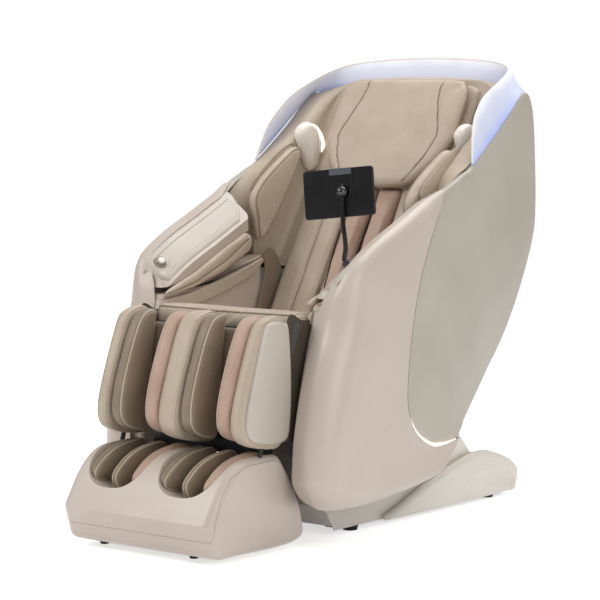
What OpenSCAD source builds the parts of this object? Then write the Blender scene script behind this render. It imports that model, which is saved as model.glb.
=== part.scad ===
// Shell-type massage chair: a base, a tilting seat pod with arm massagers, a reclining back,
// a swinging calf rest and a foot rest that runs out of it.
// Frame: X across (+X is the sitter's left), -Y the front, Z up, origin on the floor, millimetres.

/* [Side shells] */
// Width across the two side shells
shell_w = 778; // [760:1:800]
// Wall of the moulded side shells
shell_t = 3; // [2:0.5:4]
// Running gap between the front shell and the rear shell that slides under it
shell_gap = 1.5; // [1.2:0.1:3]
// Depth across the chair of the round at the shell's nose
nose_depth = 72; // [50:1:85]
// Width of the light strip at the foot of the seam
led_w = 8; // [4:1:12]

/* [Seat] */
// Clear width between the arms
seat_w = 488; // [470:1:492]
// Gap between the seat cushion and each arm
cushion_gap = 3; // [2:0.5:8]
// Diameter of the steel cross tubes
tube_d = 30; // [24:1:36]
// Thickness of the steel side plates
plate_t = 4; // [3:0.5:4]
// Diameter of the recline pins
hip_pin_d = 24; // [16:1:30]
// Diameter of the tilt pin
tilt_pin_d = 24; // [16:1:30]
// Diameter of the calf rest pins
leg_pin_d = 16; // [12:1:20]
// Radial clearance of a pin in its bore
run_gap = 0.1; // [0.05:0.01:0.1]

/* [Arms] */
// Width of the arm top panel down its slope
panel_w = 98; // [80:1:105]
// Thickness of the arm top panel
panel_t = 8; // [5:1:10]
// Thickness of the upper forearm pad
upper_pad_t = 20; // [12:1:22]
// Thickness of the lower forearm pad
lower_pad_t = 62; // [50:1:70]
// Diameter of the control dial
dial_d = 28; // [20:1:34]
// Travel of the button in the dial
button_travel = 1.5; // [0.5:0.1:2]

/* [Backrest] */
// Lean of the backrest from upright, degrees
back_lean = 31; // [30:0.1:32]
// Thickness of the back cushion
back_t = 34; // [26:1:40]
// Width of one centre roll over the massage track
roll_w = 84; // [70:1:90]
// Width of the headrest pillow
pillow_w = 436; // [400:1:450]
// Height of the headrest pillow
pillow_h = 346; // [330:1:360]
// Thickness of the headrest pillow
pillow_t = 40; // [30:1:50]
// Diameter of a kneading roller
knead_d = 54; // [44:1:60]
// Diameter of the kneading shaft
knead_shaft_d = 16; // [12:1:18]

/* [Canopy] */
// Thickness of the translucent canopy wall
canopy_t = 4; // [3:0.5:6]
// Highest point of the canopy
canopy_top = 1245; // [1230:1:1260]

/* [Base] */
// Width of the base across its side covers
base_w = 470; // [450:1:490]
// Wall of the base covers
base_t = 4; // [3:0.5:5]
// Height of the rubber feet
foot_h = 12; // [8:1:16]
// Diameter of the rubber feet
foot_d = 44; // [30:1:50]
// Diameter of the transport wheels
wheel_d = 52; // [44:1:56]
// Width of the transport wheels
wheel_w = 22; // [16:1:26]
// Diameter of the transport wheel axle
axle_d = 10; // [8:1:12]

/* [Calf rest] */
// Width of the calf rest
leg_w = 508; // [500:1:508]
// Width of each outer calf wall
calf_wall_w = 42; // [36:1:48]
// Width of the centre calf wall
calf_centre_w = 66; // [56:1:72]
// Thickness of each calf pad
calf_pad_t = 52; // [40:1:56]
// Thickness of the side cover of the calf rest
calf_cover_t = 9; // [9:0.5:12]

/* [Foot rest] */
// Width of the foot rest
foot_rest_w = 496; // [480:1:510]
// Height of the foot rest shell at its heel
foot_rest_h = 244; // [235:1:248]
// Width of each foot well
well_w = 200; // [180:1:204]
// Thickness of each foot pad
foot_pad_t = 42; // [34:1:48]
// Diameter of the foot rollers
foot_roller_d = 46; // [36:1:50]
// Travel of the foot rest out of the calf rest
foot_travel = 100; // [60:5:120]

/* [Tablet] */
// Width of the tablet
tablet_w = 190; // [170:1:210]
// Height of the tablet
tablet_h = 127; // [110:1:140]
// Thickness of the tablet
tablet_t = 12; // [8:1:14]
// Diameter of the flexible neck
neck_d = 12; // [8:1:14]
// Diameter of the ball at the tablet's back
ball_d = 30; // [24:1:34]
// Diameter of the upright pin through that ball
swivel_pin_d = 8; // [5:1:10]
// Diameter of the charging cable
cable_d = 3.4; // [3:0.1:4]

/* [Hidden] */
$fn = 48;
// Room left between soft solids and what they lie against
ease = 0.4;
seat_x = seat_w / 2;
// Pivots, as [Y, Z]
hip = [50, 360];
tilt = [60, 266];
knee = [-350, 565];
// Cushion front surface: a point on it and the lean
back_at = [240, 750];
// Outline of a side shell seen from its side, [Y, Z]
shell_edge = [[-407, 165], [-412, 225], [-402, 310], [-367, 450], [-320, 565], [-296, 650], [-262, 712],
    [-178, 767], [-64, 819], [23, 860], [125, 905], [243, 955], [380, 1055], [490, 1145], [535, 1110],
    [547, 980], [546, 791], [503, 646], [411, 483], [282, 351], [184, 261], [115, 177], [35, 137],
    [-85, 108], [-206, 98], [-345, 108]];
// Parting line between the front and the rear shell, top to bottom
seam = [[185, 990], [108, 775], [32, 653], [-21, 550], [-57, 440], [-67, 366], [-56, 314], [-24, 266],
    [36, 231], [91, 227], [150, 236], [200, 244]];
// Rear shell: its rear edge, then the margin that stays under the front shell
rear_edge = [[243, 955], [380, 1055], [490, 1145], [535, 1110], [547, 980], [546, 791], [503, 646],
    [411, 483], [282, 351], [192, 268], [160, 236], [95, 208], [30, 212], [-30, 240], [-76, 300],
    [-98, 390], [-112, 489], [-112, 605], [-84, 705], [10, 788], [88, 848], [138, 887], [168, 913],
    [200, 934]];
// Crest of the arm, front to rear
crest = [[-296, 668], [-283, 694], [-262, 716], [-178, 765], [-64, 817], [23, 858], [68, 879]];
crest_x = shell_w / 2 - 55;

// ---- Curves and lofts ----

// One point of a Catmull-Rom span from b to c
function span_at(a, b, c, d, t) = 0.5 * ((2 * b) + (c - a) * t + (2 * a - 5 * b + 4 * c - d) * t * t
    + (3 * b - a - 3 * c + d) * t * t * t);
// Smooth closed curve through points p, k steps to a span
function closed_curve(p, k) = let (n = len(p)) [for (i = [0:n - 1], j = [0:k - 1])
    span_at(p[(i + n - 1) % n], p[i], p[(i + 1) % n], p[(i + 2) % n], j / k)];
// Smooth open curve through points p, k steps to a span
function open_curve(p, k) = let (n = len(p), q = concat([2 * p[0] - p[1]], p, [2 * p[n - 1] - p[n - 2]]))
    concat([for (i = [1:n - 1], j = [0:k - 1]) span_at(q[i - 1], q[i], q[i + 1], q[i + 2], j / k)],
        [p[n - 1]]);
function unit(v) = v / norm(v);
function rev(p) = [for (i = [len(p) - 1:-1:0]) p[i]];
function cross2(a, b) = a[0] * b[1] - a[1] * b[0];
function turns(p) = [for (i = [0:len(p) - 1]) cross2(p[i], p[(i + 1) % len(p)])];
// The points in counter-clockwise order
function ccw(p) = (turns(p) * [for (i = p) 1]) > 0 ? p : rev(p);
function centre(p) = [for (k = [0:len(p[0]) - 1]) [for (q = p) q[k]] * [for (q = p) 1] / len(p)];
// Inward normals of a counter-clockwise outline
function inward(p) = let (n = len(p)) [for (i = [0:n - 1])
    let (d = unit(p[(i + 1) % n] - p[(i + n - 1) % n])) [-d[1], d[0]]];
function clamp(v, low, high) = max(low, min(high, v));

// Closed skin over a stack of rings of equal count, each cap a fan about its centre, which lies
// "dent" inside the end ring along X
module loft(rings, flip = false, dent = 0) {
    n = len(rings[0]);
    m = len(rings);
    points = concat([for (r = rings) for (p = r) p],
        [centre(rings[0]) - [dent, 0, 0], centre(rings[m - 1]) + [dent, 0, 0]]);
    sides = [for (j = [0:m - 2], i = [0:n - 1]) let (a = j * n + i, b = j * n + (i + 1) % n)
        each [[a, b, b + n], [a, b + n, a + n]]];
    caps = [for (i = [0:n - 1]) each [[n * m, (i + 1) % n, i],
        [n * m + 1, (m - 1) * n + i, (m - 1) * n + (i + 1) % n]]];
    faces = concat(sides, caps);
    polyhedron(points, flip ? [for (f = faces) rev(f)] : faces, convexity = 10);
}

// Plate standing in the YZ plane from x0 to x1 with rounded edges: "depth" is the round across the
// plate, "inset" the round in its plane, and "crown" how far each face falls off from its middle
module slab(outline, x0, x1, depth, inset, crown = 0, steps = 2) {
    out = ccw(outline);
    into = inward(out);
    mid = centre(out);
    low = x0 + crown;
    high = x1 - crown;
    function ring(x, d, s = 1) = [for (i = [0:len(out) - 1])
        let (p = mid + (out[i] + into[i] * d - mid) * s) [x, p[0], p[1]]];
    loft(concat(
        crown > 0 ? [ring(x1, inset, 0.5)] : [],
        [for (j = [0:steps]) let (a = 90 * (1 - j / steps))
            ring(high - depth * (1 - sin(a)), inset * (1 - cos(a)))],
        [for (j = [0:steps]) let (a = 90 * j / steps)
            ring(low + depth * (1 - sin(a)), inset * (1 - cos(a)))],
        crown > 0 ? [ring(x0, inset, 0.5)] : []), dent = 0.4);
}

// Exact plate standing in the YZ plane from x0 to x1
module plate(outline, x0, x1) translate([x0, 0, 0]) rotate([90, 0, 90]) linear_extrude(x1 - x0)
    polygon(outline);
// Cylinder along X at a [Y, Z]
module rod(at, d, x0, x1) translate([x0, at[0], at[1]]) rotate([0, 90, 0]) cylinder(d = d, h = x1 - x0);
// Box from corner to corner
module block(a, b) translate(a) cube(b - a);
// Turns a slab so that its +X face points to the front (-Y)
module facing() rotate([0, 0, -90]) children();
// The backrest's own frame: origin on the cushion surface, Z up the back, +Y rearwards
module back_plane() translate([0, back_at[0], back_at[1]]) rotate([-back_lean, 0, 0]) children();
// A point of the backrest's frame as [depth, up], for a point [Y, Z] of the chair
function in_back(p) = let (d = p - back_at)
    [d[0] * cos(back_lean) - d[1] * sin(back_lean), d[0] * sin(back_lean) + d[1] * cos(back_lean)];
module both_sides() {
    children();
    mirror([1, 0, 0]) children();
}

// ---- Side shells ----

// Outer face of a shell: half the width at the hip axis, falling off slightly around it, so that the
// rear shell keeps its gap to the front one as it turns about that axis
function dome(p) = shell_w / 2 - 0.000015 * pow(norm(p - hip), 2);
// How strongly the edge rolls in at an outline point: full at the nose, none under the hip
function roll(p) = p[1] > 420
    ? (1 - 0.55 * clamp((p[1] - 530) / 95, 0, 1)) * clamp((160 - p[0]) / 120, 0.15, 1)
    : clamp(1 - (p[0] + 85) / 180, 0.004, 1);
function roll_inset(p) = p[1] > 420
    ? (70 - 28 * clamp((p[1] - 600) / 120, 0, 1)) * clamp((160 - p[0]) / 120, 0.33, 1)
    : max(3, 60 * clamp(1 - (p[0] + 85) / 180, 0, 1) + 10 * clamp((p[1] - 300) / 100, 0, 1));

// Hollow moulded tray: rolled edge, lip turned in, open towards the chair's middle
module tray(edge, k, drop, t, depths, insets, lips, steps = 3) {
    out = ccw(closed_curve(edge, k));
    into = inward(out);
    mid = centre(out);
    n = len(out);
    depth = [for (p = out) depths(p)];
    inset = [for (p = out) insets(p)];
    lip = [for (p = out) lips(p)];
    function ring(a, w, s = 1) = [for (i = [0:n - 1])
        let (p = mid + (out[i] + into[i] * (w + inset[i] * (1 - cos(a))) - mid) * s)
        [dome(p) - drop - w - depth[i] * (1 - sin(a)), p[0], p[1]]];
    function lip_ring(w) = [for (i = [0:n - 1])
        let (p = out[i] + into[i] * (w + lip[i] * 0.3))
        [dome(p) - drop - depth[i] - lip[i] - t - 0.4, p[0], p[1]]];
    loft(concat(
        [for (s = [0.25, 0.6]) ring(90, 0, s)],
        [for (j = [0:steps]) ring(90 * (1 - j / steps), 0)],
        [lip_ring(0), lip_ring(t)],
        [for (j = [0:steps - 1]) ring(90 * j / (steps - 1), t)],
        [for (s = [0.6, 0.25]) ring(90, t, s)]));
}

seam_line = open_curve(seam, 2);
// Everything to the rear of the seam
module rear_region() plate(concat([[300, 1400]], seam_line, [[300, 60], [800, 60], [800, 1400]]), 0, 500);

module side_shell() color("#cabbac") difference() {
    tray(shell_edge, 2, 0, shell_t, function(p) nose_depth * roll(p), function(p) roll_inset(p),
        function(p) 36 * clamp(roll(p) * 1.4 - 0.1, 0, 1) * (1 - 0.65 * clamp((p[1] - 550) / 65, 0, 1)));
    rear_region();
}
module side_shell_left() side_shell();
module side_shell_right() mirror([1, 0, 0]) side_shell();

rear_drop = shell_t + shell_gap;
// Where the rear shell's own edge is rolled; the rest is the flat margin under the front shell
function rear_rolled(p) = p[0] > 200 || p[1] > 830;
module rear_shell() color("#b5aea2") tray(rear_edge, 2, rear_drop, shell_t,
    function(p) rear_rolled(p) ? 8 : 0.3, function(p) rear_rolled(p) ? 12 : 3,
    function(p) rear_rolled(p) ? 14 : 0);
module rear_shell_left() rear_shell();
module rear_shell_right() mirror([1, 0, 0]) rear_shell();

// Light strip along the foot of the seam, thickest at its lowest point
module led_strips() color("#fff2dc") both_sides() {
    line = [for (i = [6:20]) seam_line[i]];
    n = len(line);
    along = [for (i = [0:n - 1]) unit(line[min(i + 1, n - 1)] - line[max(i - 1, 0)])];
    width = [for (i = [0:n - 1]) 1.6 + led_w * pow(sin(180 * pow(i / (n - 1), 1.5)), 2)];
    inner = [for (i = [0:n - 1]) line[i] + [-along[i][1], along[i][0]] * (2 * ease + width[i])];
    outer = [for (i = [0:n - 1]) line[i] + [-along[i][1], along[i][0]] * 2 * ease];
    rings = [for (i = [0:n - 1]) [
        [dome(outer[i]) - 0.3, outer[i][0], outer[i][1]],
        [dome(inner[i]) - 0.3, inner[i][0], inner[i][1]],
        [dome(inner[i]) - shell_t, inner[i][0], inner[i][1]],
        [dome(outer[i]) - shell_t, outer[i][0], outer[i][1]]]];
    loft(rings);
}

// ---- Base ----

// Line of the base side covers: sweeping up from the floor to a hump over the rear feet
hump = [[60, foot_h], [64, 25], [122, 42], [196, 70], [313, 109], [435, 138], [516, 146], [579, 133],
    [650, 106],
    [688, 78], [691, 56], [685, 30], [680, foot_h]];
arch = [[346, foot_h - 5], [366, 42], [438, 71], [518, 91], [581, 87], [655, 60], [664, foot_h - 5]];
tower = [[-138, foot_h], [-172, 60], [-182, 96], [-120, 150], [0, 200], [120, 228], [300, 240],
    [372, 234], [405, 220], [450, 178], [490, 130], [520, 60], [520, foot_h]];
deck = [[440, foot_h], [436, 130], [516, 138], [579, 124], [640, 84], [668, 70], [674, 60], [674, foot_h]];
deck_rear = 674;
base_x = base_w / 2;
cover_x = base_x - 29;
tower_x = cover_x - ease;

module base_cover() color("#cfc8bc") difference() {
    slab(concat(open_curve(hump, 2), [[500, foot_h], [280, foot_h]]), cover_x, base_x, 12, 4);
    // Recessed arch on the outer face
    plate(concat([[400, -5]], open_curve(arch, 2), [[664, -5]]), base_x - base_t, base_x + 5);
}
module base_cover_left() base_cover();
module base_cover_right() mirror([1, 0, 0]) base_cover();

// The outline moved in by t and run on below the floor
function inset_below(p, t) = let (c = ccw(p), into = inward(c), n = len(c)) [for (i = [0:n - 1])
    c[i][1] <= foot_h ? [c[i][0] + sign(centre(c)[0] - c[i][0]) * t, -5] : c[i] + into[i] * t];

// Tower over the base frame and the low deck behind it; open at the top for the pivots, and behind
// for the wheels and the mains inlet
module base_tower() color("#d3ccc1") difference() {
    for (p = [open_curve(tower, 2), deck]) plate(p, -tower_x, tower_x);
    for (p = [open_curve(tower, 2), deck]) plate(inset_below(p, base_t), base_t - tower_x, tower_x - base_t);
    block([-rail_x + 10, 10, 150], [rail_x - 10, 110, 300]);
    block([inlet_x - ease, deck_rear - 30, inlet_z - ease],
        [inlet_x + inlet_w + ease, deck_rear + 5, inlet_z + inlet_h + ease]);
}

rail_x = 150;
rail_w = 30;
rail_z = foot_h + rail_w;
upright_x = rail_x - 34;
lug_x = rail_x - 60;
module base_frame() color("#4b4a48") difference() {
    union() {
        both_sides() {
            block([rail_x, -110, foot_h], [rail_x + rail_w, 655, rail_z]);
            // Upright with the tilt bearing
            plate([[-20, rail_z], [140, rail_z], [84, tilt[1] + 24], [60, tilt[1] + 30],
                [36, tilt[1] + 24]], upright_x, upright_x + 2 * plate_t);
            block([upright_x, -30, foot_h], [rail_x, 150, rail_z]);
        }
        for (y = [-65, 300, 560]) block([base_t - tower_x + ease, y, foot_h],
            [tower_x - base_t - ease, y + rail_w, rail_z]);
    }
    rod(tilt, tilt_pin_d + 2 * run_gap, -rail_x, rail_x);
    rod(wheel_at, axle_d + 2 * run_gap, -rail_x - 20, rail_x + 20);
}

module base_feet() color("#1c1c1c") for (x = [-1, 1], y = [-50, 590])
    translate([x * (cover_x - 18), y, 0]) cylinder(d1 = foot_d - 6, d2 = foot_d, h = foot_h);

wheel_at = [628, wheel_d / 2 + 5];
wheel_x = 100;
module wheel_axle() color("silver") {
    rod(wheel_at, axle_d, -rail_x - 18, rail_x + 18);
    both_sides() {
        rod(wheel_at, axle_d + 8, wheel_x - 5, wheel_x - ease);
        rod(wheel_at, axle_d + 8, wheel_x + wheel_w + ease, wheel_x + wheel_w + 5);
    }
}
module wheel_left() color("#2b2b2b") wheel_body(wheel_x);
module wheel_right() color("#2b2b2b") wheel_body(-wheel_x - wheel_w);
module wheel_body(x) difference() {
    rod(wheel_at, wheel_d, x, x + wheel_w);
    rod(wheel_at, axle_d + 2 * run_gap, x - 1, x + wheel_w + 1);
}

// Mains inlet with its rocker switch, in the rear wall of the deck
inlet_x = -62;
inlet_z = 34;
inlet_w = 54;
inlet_h = 26;
switch_x = inlet_x + 33;
switch_at = [deck_rear - 1, inlet_z + inlet_h / 2];
module power_inlet() color("#202020") difference() {
    union() {
        block([inlet_x - 5, deck_rear + 0.2, inlet_z - 5],
            [inlet_x + inlet_w + 5, deck_rear + 2.6, inlet_z + inlet_h + 5]);
        block([inlet_x, deck_rear - 24, inlet_z], [inlet_x + inlet_w, deck_rear + 1, inlet_z + inlet_h]);
    }
    block([inlet_x + 3, deck_rear - 18, inlet_z + 4], [inlet_x + 28, deck_rear + 5, inlet_z + 22]);
    block([switch_x, deck_rear - 12, inlet_z + 2], [switch_x + 17, deck_rear + 5, inlet_z + inlet_h - 2]);
    rod(switch_at, 3 + 2 * run_gap, switch_x - 2.5, switch_x + 19.5);
}
module mains_switch() color("#2a2a2a") {
    plate([for (q = [[-5, -9], [3, -10], [5.6, -9.4], [3.6, 0], [5.6, 9.4], [3, 10], [-5, 9]])
        switch_at + q], switch_x + 0.6, switch_x + 16.4);
    rod(switch_at, 3, switch_x - 2, switch_x + 19);
}

// ---- Seat pod ----

side_x = seat_x + 2;
plate_out = side_x - 1;
plate_in = plate_out - plate_t;
arm_in = seat_x + 6;
arm_out = 330;
// Underside of the cushion, which the seat pan follows
function under_seat(y) = 520 - 0.188 * (y + 325);
module seat_frame() color("#55524f") {
    both_sides() {
        difference() {
            plate(concat([[-360, 500], [knee[0] - 14, knee[1] - 5], [knee[0] - 12, knee[1] + 8],
                [knee[0], knee[1] + 14], [knee[0] + 12, knee[1] + 8], [-330, under_seat(-330) - ease]],
                [for (y = [-262, -60, 60, 98]) [y, under_seat(y) - ease]],
                [[96, 376], [84, 338], [50, 322], [0, 345], [-80, 372], [-270, 420], [-340, 470]]),
                plate_in, plate_out);
            rod(knee, leg_pin_d + 2 * run_gap, 0, 400);
        }
        rod(hip, hip_pin_d, rail_in - 4, plate_in + 1);
        // Lug from the rear cross tube down to the tilt pin
        plate([[-12, 438], [12, 440], [90, 360], [84, 252], [60, 244], [36, 252]],
            lug_x, lug_x + 3 * plate_t);
        // Spacers that carry the arm and the side shell
        for (p = [[-200, 445], [20, 390]]) rod(p, tube_d, plate_out - 1, arm_in - 0.2);
    }
    plate([for (q = [[-300, 3.4], [76, 3.4], [76, ease], [-300, ease]]) [q[0], under_seat(q[0]) - q[1]]],
        -plate_in - 1, plate_in + 1);
    rod([-250, 446], tube_d, -plate_in - 1, plate_in + 1);
    rod([0, 422], tube_d, -plate_in - 1, plate_in + 1);
    rod(tilt, tilt_pin_d, -upright_x - 2 * plate_t - 4, upright_x + 2 * plate_t + 4);
}

cushion_side = concat(open_curve([[-336, 528], [-344, 550], [-345, 583], [-322, 600], [-250, 592],
    [-120, 562], [0, 528], [70, 500], [104, 480]], 2), [for (y = [78, 0, -150, -310]) [y, under_seat(y)]]);
cushion_x = seat_x - cushion_gap;
module seat_cushion() color("#c3b29c") slab(cushion_side, -cushion_x, cushion_x, 22, 16);

// Arm top: crest line, and the surface of the panel that rolls down from it towards the seat
crest_line = open_curve(crest, 2);
function crest_at(y) = lookup(y, crest_line);
panel_roll = 38;
function on_crest(p, q) = let (h = -q[0] * sin(panel_roll) + q[1] * cos(panel_roll))
    [crest_x - q[0] * cos(panel_roll) - q[1] * sin(panel_roll), p[0] - h * 0.15, p[1] - 6 + h];
// Section of the panel: run down the slope, drop below the surface
function panel_section(w) = [[0, 0], [w * 0.4, 1.5], [w - 16, 0], [w - 6, -2], [w, -8], [w, -14],
    [w - panel_t * 0.8, -14], [w - 18, -panel_t], [w * 0.4, 1.5 - panel_t], [0, -panel_t]];
// Room that the arm body leaves for the panel: the panel, and everything above the arm's top
function panel_room(w) = let (t = panel_t + ease) [[-14, -t], [w * 0.4, 1.5 - t], [w - 18, -t],
    [w - t, -14 - ease], [w + ease, -14 - ease], [w + ease, -2], [panel_w + 40, -2],
    [panel_w + 40, 70], [-14, 70]];
function panel_w_at(i) = panel_w * min(clamp(i / 4, 0.35, 1), clamp((len(crest_line) - 1 - i) / 2, 0.75, 1));
module panel_loft(room) loft([for (i = [0:len(crest_line) - 1])
    [for (q = room ? panel_room(panel_w_at(i)) : panel_section(panel_w_at(i))) on_crest(crest_line[i], q)]],
    flip = true);

// Arm: outer wall, top and seat side round the forearm slot
arm_side = [[-378, 190], [-381, 240], [-373, 310], [-342, 440], [-306, 560], [-280, 640], [-256, 688],
    [-178, 740], [-64, 792], [23, 833], [62, 850], [70, 800], [76, 745], [112, 700], [124, 640],
    [112, 420], [60, 300], [-60, 220], [-220, 142], [-330, 134]];
slot_side = [[-420, 585], [-300, 600], [-100, 622], [60, 664], [160, 700], [170, 790], [110, 790],
    [20, 752], [-178, 654], [-290, 630], [-420, 628]];
slot_out = arm_out - 16;
module arm_body() color("#c5b6a4") {
    difference() {
        slab(closed_curve(arm_side, 2), arm_in, arm_out, 20, 16);
        plate(slot_side, arm_in - 10, slot_out);
        panel_loft(room = true);
    }
    // Bosses that carry the side shell
    for (p = [[-290, 270], [-262, 440], [-200, 600], [-190, 200]])
        rod(p, 26, arm_out - 2, dome(p) - shell_t - ease);
}
module arm_body_left() arm_body();
module arm_body_right() mirror([1, 0, 0]) arm_body();

module arm_panel() panel_loft(room = false);
module arm_panel_left() color("#d2cabf") arm_panel();
module arm_panel_right() color("#d2cabf") difference() {
    mirror([1, 0, 0]) arm_panel();
    on_dial() cylinder(d = spindle_d + 2 * run_gap, h = 60, center = true);
}

upper_pad_side = [[-302, 617], [-290, 607], [-184, 622], [-60, 656], [52, 708], [66, 730], [60, 756],
    [34, 766], [-40, 736], [-180, 668], [-285, 629]];
module upper_arm_pads() color("#b9a68f") both_sides()
    slab(upper_pad_side, arm_in - ease - upper_pad_t, arm_in - ease, 8, 8, 3);

// Lower pad: a leaf on the floor of the slot and a flap over the seat side
lower_leaf = [[-292, 601.5], [-100, 622.6], [60, 664.6], [118, 686], [118, 698], [60, 679], [-100, 636],
    [-288, 613]];
lower_flap = [[-296, 562], [-302, 588], [-284, 599], [-200, 612], [-60, 640], [60, 672], [116, 692],
    [122, 680], [60, 640], [-60, 602], [-200, 570]];
module lower_arm_pads() color("#b5a28c") both_sides() {
    slab(lower_flap, cushion_x + ease, arm_in - ease, 2, 2);
    slab(lower_leaf, arm_in + ease, arm_in + lower_pad_t - 12, 3, 2);
}

// Control dial on the right arm panel, its button on its own axis
spindle_d = 8;
dial_y = -247;
function slope_at(y) = atan2(crest_at(y + 18) - crest_at(y - 18), 36);
module on_panel(y, run) translate(on_crest([y, crest_at(y)], [run, 1.5])) rotate([slope_at(y), 0, 0])
    rotate([0, -panel_roll, 0]) children();
module on_dial() mirror([1, 0, 0]) on_panel(dial_y, panel_w * 0.4) children();
dial_skirt = dial_d + 8;
module control_dial() color("#d8d2c8") on_dial() difference() {
    union() {
        translate([0, 0, 0.5]) cylinder(d = dial_skirt, h = 4);
        translate([0, 0, 0.5]) cylinder(d = dial_d, h = 12);
        translate([0, 0, -6]) cylinder(d = spindle_d, h = 8);
    }
    translate([0, 0, 5]) cylinder(d = dial_d - 8, h = 20);
}
module power_button() color("#efece6") on_dial() translate([0, 0, 5.2 + button_travel])
    cylinder(d = dial_d - 8.6, h = 7.5 - button_travel);

// Flexible neck from the left arm panel to the ball behind the tablet
tablet_at = [194, -109, 890];
tablet_turn = [-6.7, -5.8, 19.6];
// Where a point of the tablet's own frame stands in the chair's
function turned(v) = let (a = tablet_turn, x = v[0] * cos(a[1]) + v[2] * sin(a[1]),
    z = v[2] * cos(a[1]) - v[0] * sin(a[1]), y = v[1] * cos(a[0]) - z * sin(a[0]))
    tablet_at + [x * cos(a[2]) - y * sin(a[2]), x * sin(a[2]) + y * cos(a[2]),
        v[1] * sin(a[0]) + z * cos(a[0])];
// Centre of the ball in the tablet's own frame, before the tablet's back
ball_in = [16, -ball_d / 2 - 5, 0];
ball_at = turned(ball_in);
neck_y = -232;
neck_run = 20;
neck_route = concat([for (rise = [2, 18]) on_crest([neck_y, crest_at(neck_y)], [neck_run, rise])],
    [[286, -200, 750], [258, -164, 768], [236, -140, 790], [222, -127, 818]],
    [for (drop = [44, ball_d / 2 + 0.3]) ball_at - [0, 0, drop]]);
module on_tablet() translate(tablet_at) rotate([0, 0, tablet_turn[2]]) rotate([tablet_turn[0], 0, 0])
    rotate([0, tablet_turn[1], 0]) children();
// Tube of round section swept along a route
module tube(route, d, sides, k) {
    line = open_curve(route, k);
    n = len(line);
    rings = [for (i = [0:n - 1]) let (w = unit(line[min(i + 1, n - 1)] - line[max(i - 1, 0)]),
        u = unit(cross(w, [1, 0.3, 0.2])), v = cross(w, u))
        [for (j = [0:sides - 1]) line[i] + d / 2 * (u * cos(360 * j / sides) + v * sin(360 * j / sides))]];
    loft(rings, flip = true);
}
module neck_socket() color("#1a1a1a") difference() {
    on_panel(neck_y, neck_run) translate([0, 0, 0.3]) cylinder(d1 = neck_d + 14, d2 = neck_d + 8, h = 12);
    tube(neck_route, neck_d + 2 * ease, 10, 2);
}
module gooseneck() color("#1a1a1a") tube(neck_route, neck_d, 10, 2);
// Ball on the neck's end, in the ring on the tablet's back, with the pin on which the tablet swivels
module swivel_pin(gap) translate(ball_at) cylinder(d = swivel_pin_d + 2 * gap, h = ball_d / 2 + 6);
module ball_joint() color("#1a1a1a") {
    translate(ball_at) sphere(d = ball_d);
    swivel_pin(0);
}
module tablet() color("#17181a") difference() {
    on_tablet() {
        slab_front(tablet_w, tablet_h, tablet_t);
        translate([ball_in[0], 1, 0]) rotate([90, 0, 0]) cylinder(d = ball_d + 12, h = 11);
    }
    translate(ball_at) sphere(d = ball_d + 2 * ease);
    swivel_pin(run_gap);
}
// Flat plate in the XZ plane with rounded corners, its back at y = t
module slab_front(w, h, t, r = 8) rotate([90, 0, 0]) translate([0, 0, -t]) linear_extrude(t)
    hull() for (x = [-1, 1], z = [-1, 1]) translate([x * (w / 2 - r), z * (h / 2 - r)]) circle(r, $fn = 24);
cable_route = [[222.6, -139.4, 797], [217.5, -144, 776], [211, -155, 735], [214, -178, 690],
    [222, -204, 656], [229, -218, 640]];
module tablet_cable() color("#151515") tube(cable_route, cable_d, 8, 2);

// ---- Backrest ----

hip_b = in_back(hip);
rail_in = 210;
rail_rear = 104;
frame_foot = -330;
frame_top = 370;
lining_back = 60;
function rear_inner(p) = dome(p) - rear_drop - shell_t - ease;
function from_back(q) = [back_at[0] + q[0] * cos(back_lean) + q[1] * sin(back_lean),
    back_at[1] - q[0] * sin(back_lean) + q[1] * cos(back_lean)];
module back_frame() color("#55524f") {
    back_structure();
    // Brackets back to the rear cover
    both_sides() for (z = [700, 900]) translate([rail_in + 6, rail_y(z), z]) rotate([-90, 0, 0])
        cylinder(d = 12, h = cover_front(z) - rail_y(z));
}
module back_structure() back_plane() {
    both_sides() difference() {
        union() {
            // Rail with the massage track, its front carrying the cushion
            plate([[hip_b[0] - 20, hip_b[1] - 12], [hip_b[0], hip_b[1] - 24], [hip_b[0] + 20, hip_b[1] - 12],
                [rail_rear, frame_foot], [rail_rear, frame_top], [back_t + ease, frame_top],
                [back_t + ease, -280], [hip_b[0] - 18, hip_b[1] + 30]], rail_in, rail_in + plate_t);
            rod(hip_b, hip_pin_d + 20, rail_in, rail_in + 16);
            // Wing that carries the lining and the rear shell
            block([rail_in, lining_back + ease, -80], [368, lining_back + 4, 326]);
        }
        rod(hip_b, hip_pin_d + 2 * run_gap, rail_in - 10, rail_in + 30);
    }
    for (u = [frame_foot + 20, frame_top - 20]) rod([rail_rear - 14, u], 20, -rail_in - 1, rail_in + 1);
    both_sides() for (p = [from_back([120, 250]), from_back([90, frame_foot + 20])])
        rod(in_back(p), 20, rail_in, rear_inner(p));
    both_sides() plate([[100, 234], [136, 234], [136, 266], [100, 266]], rail_in, rail_in + plate_t);
}
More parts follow.
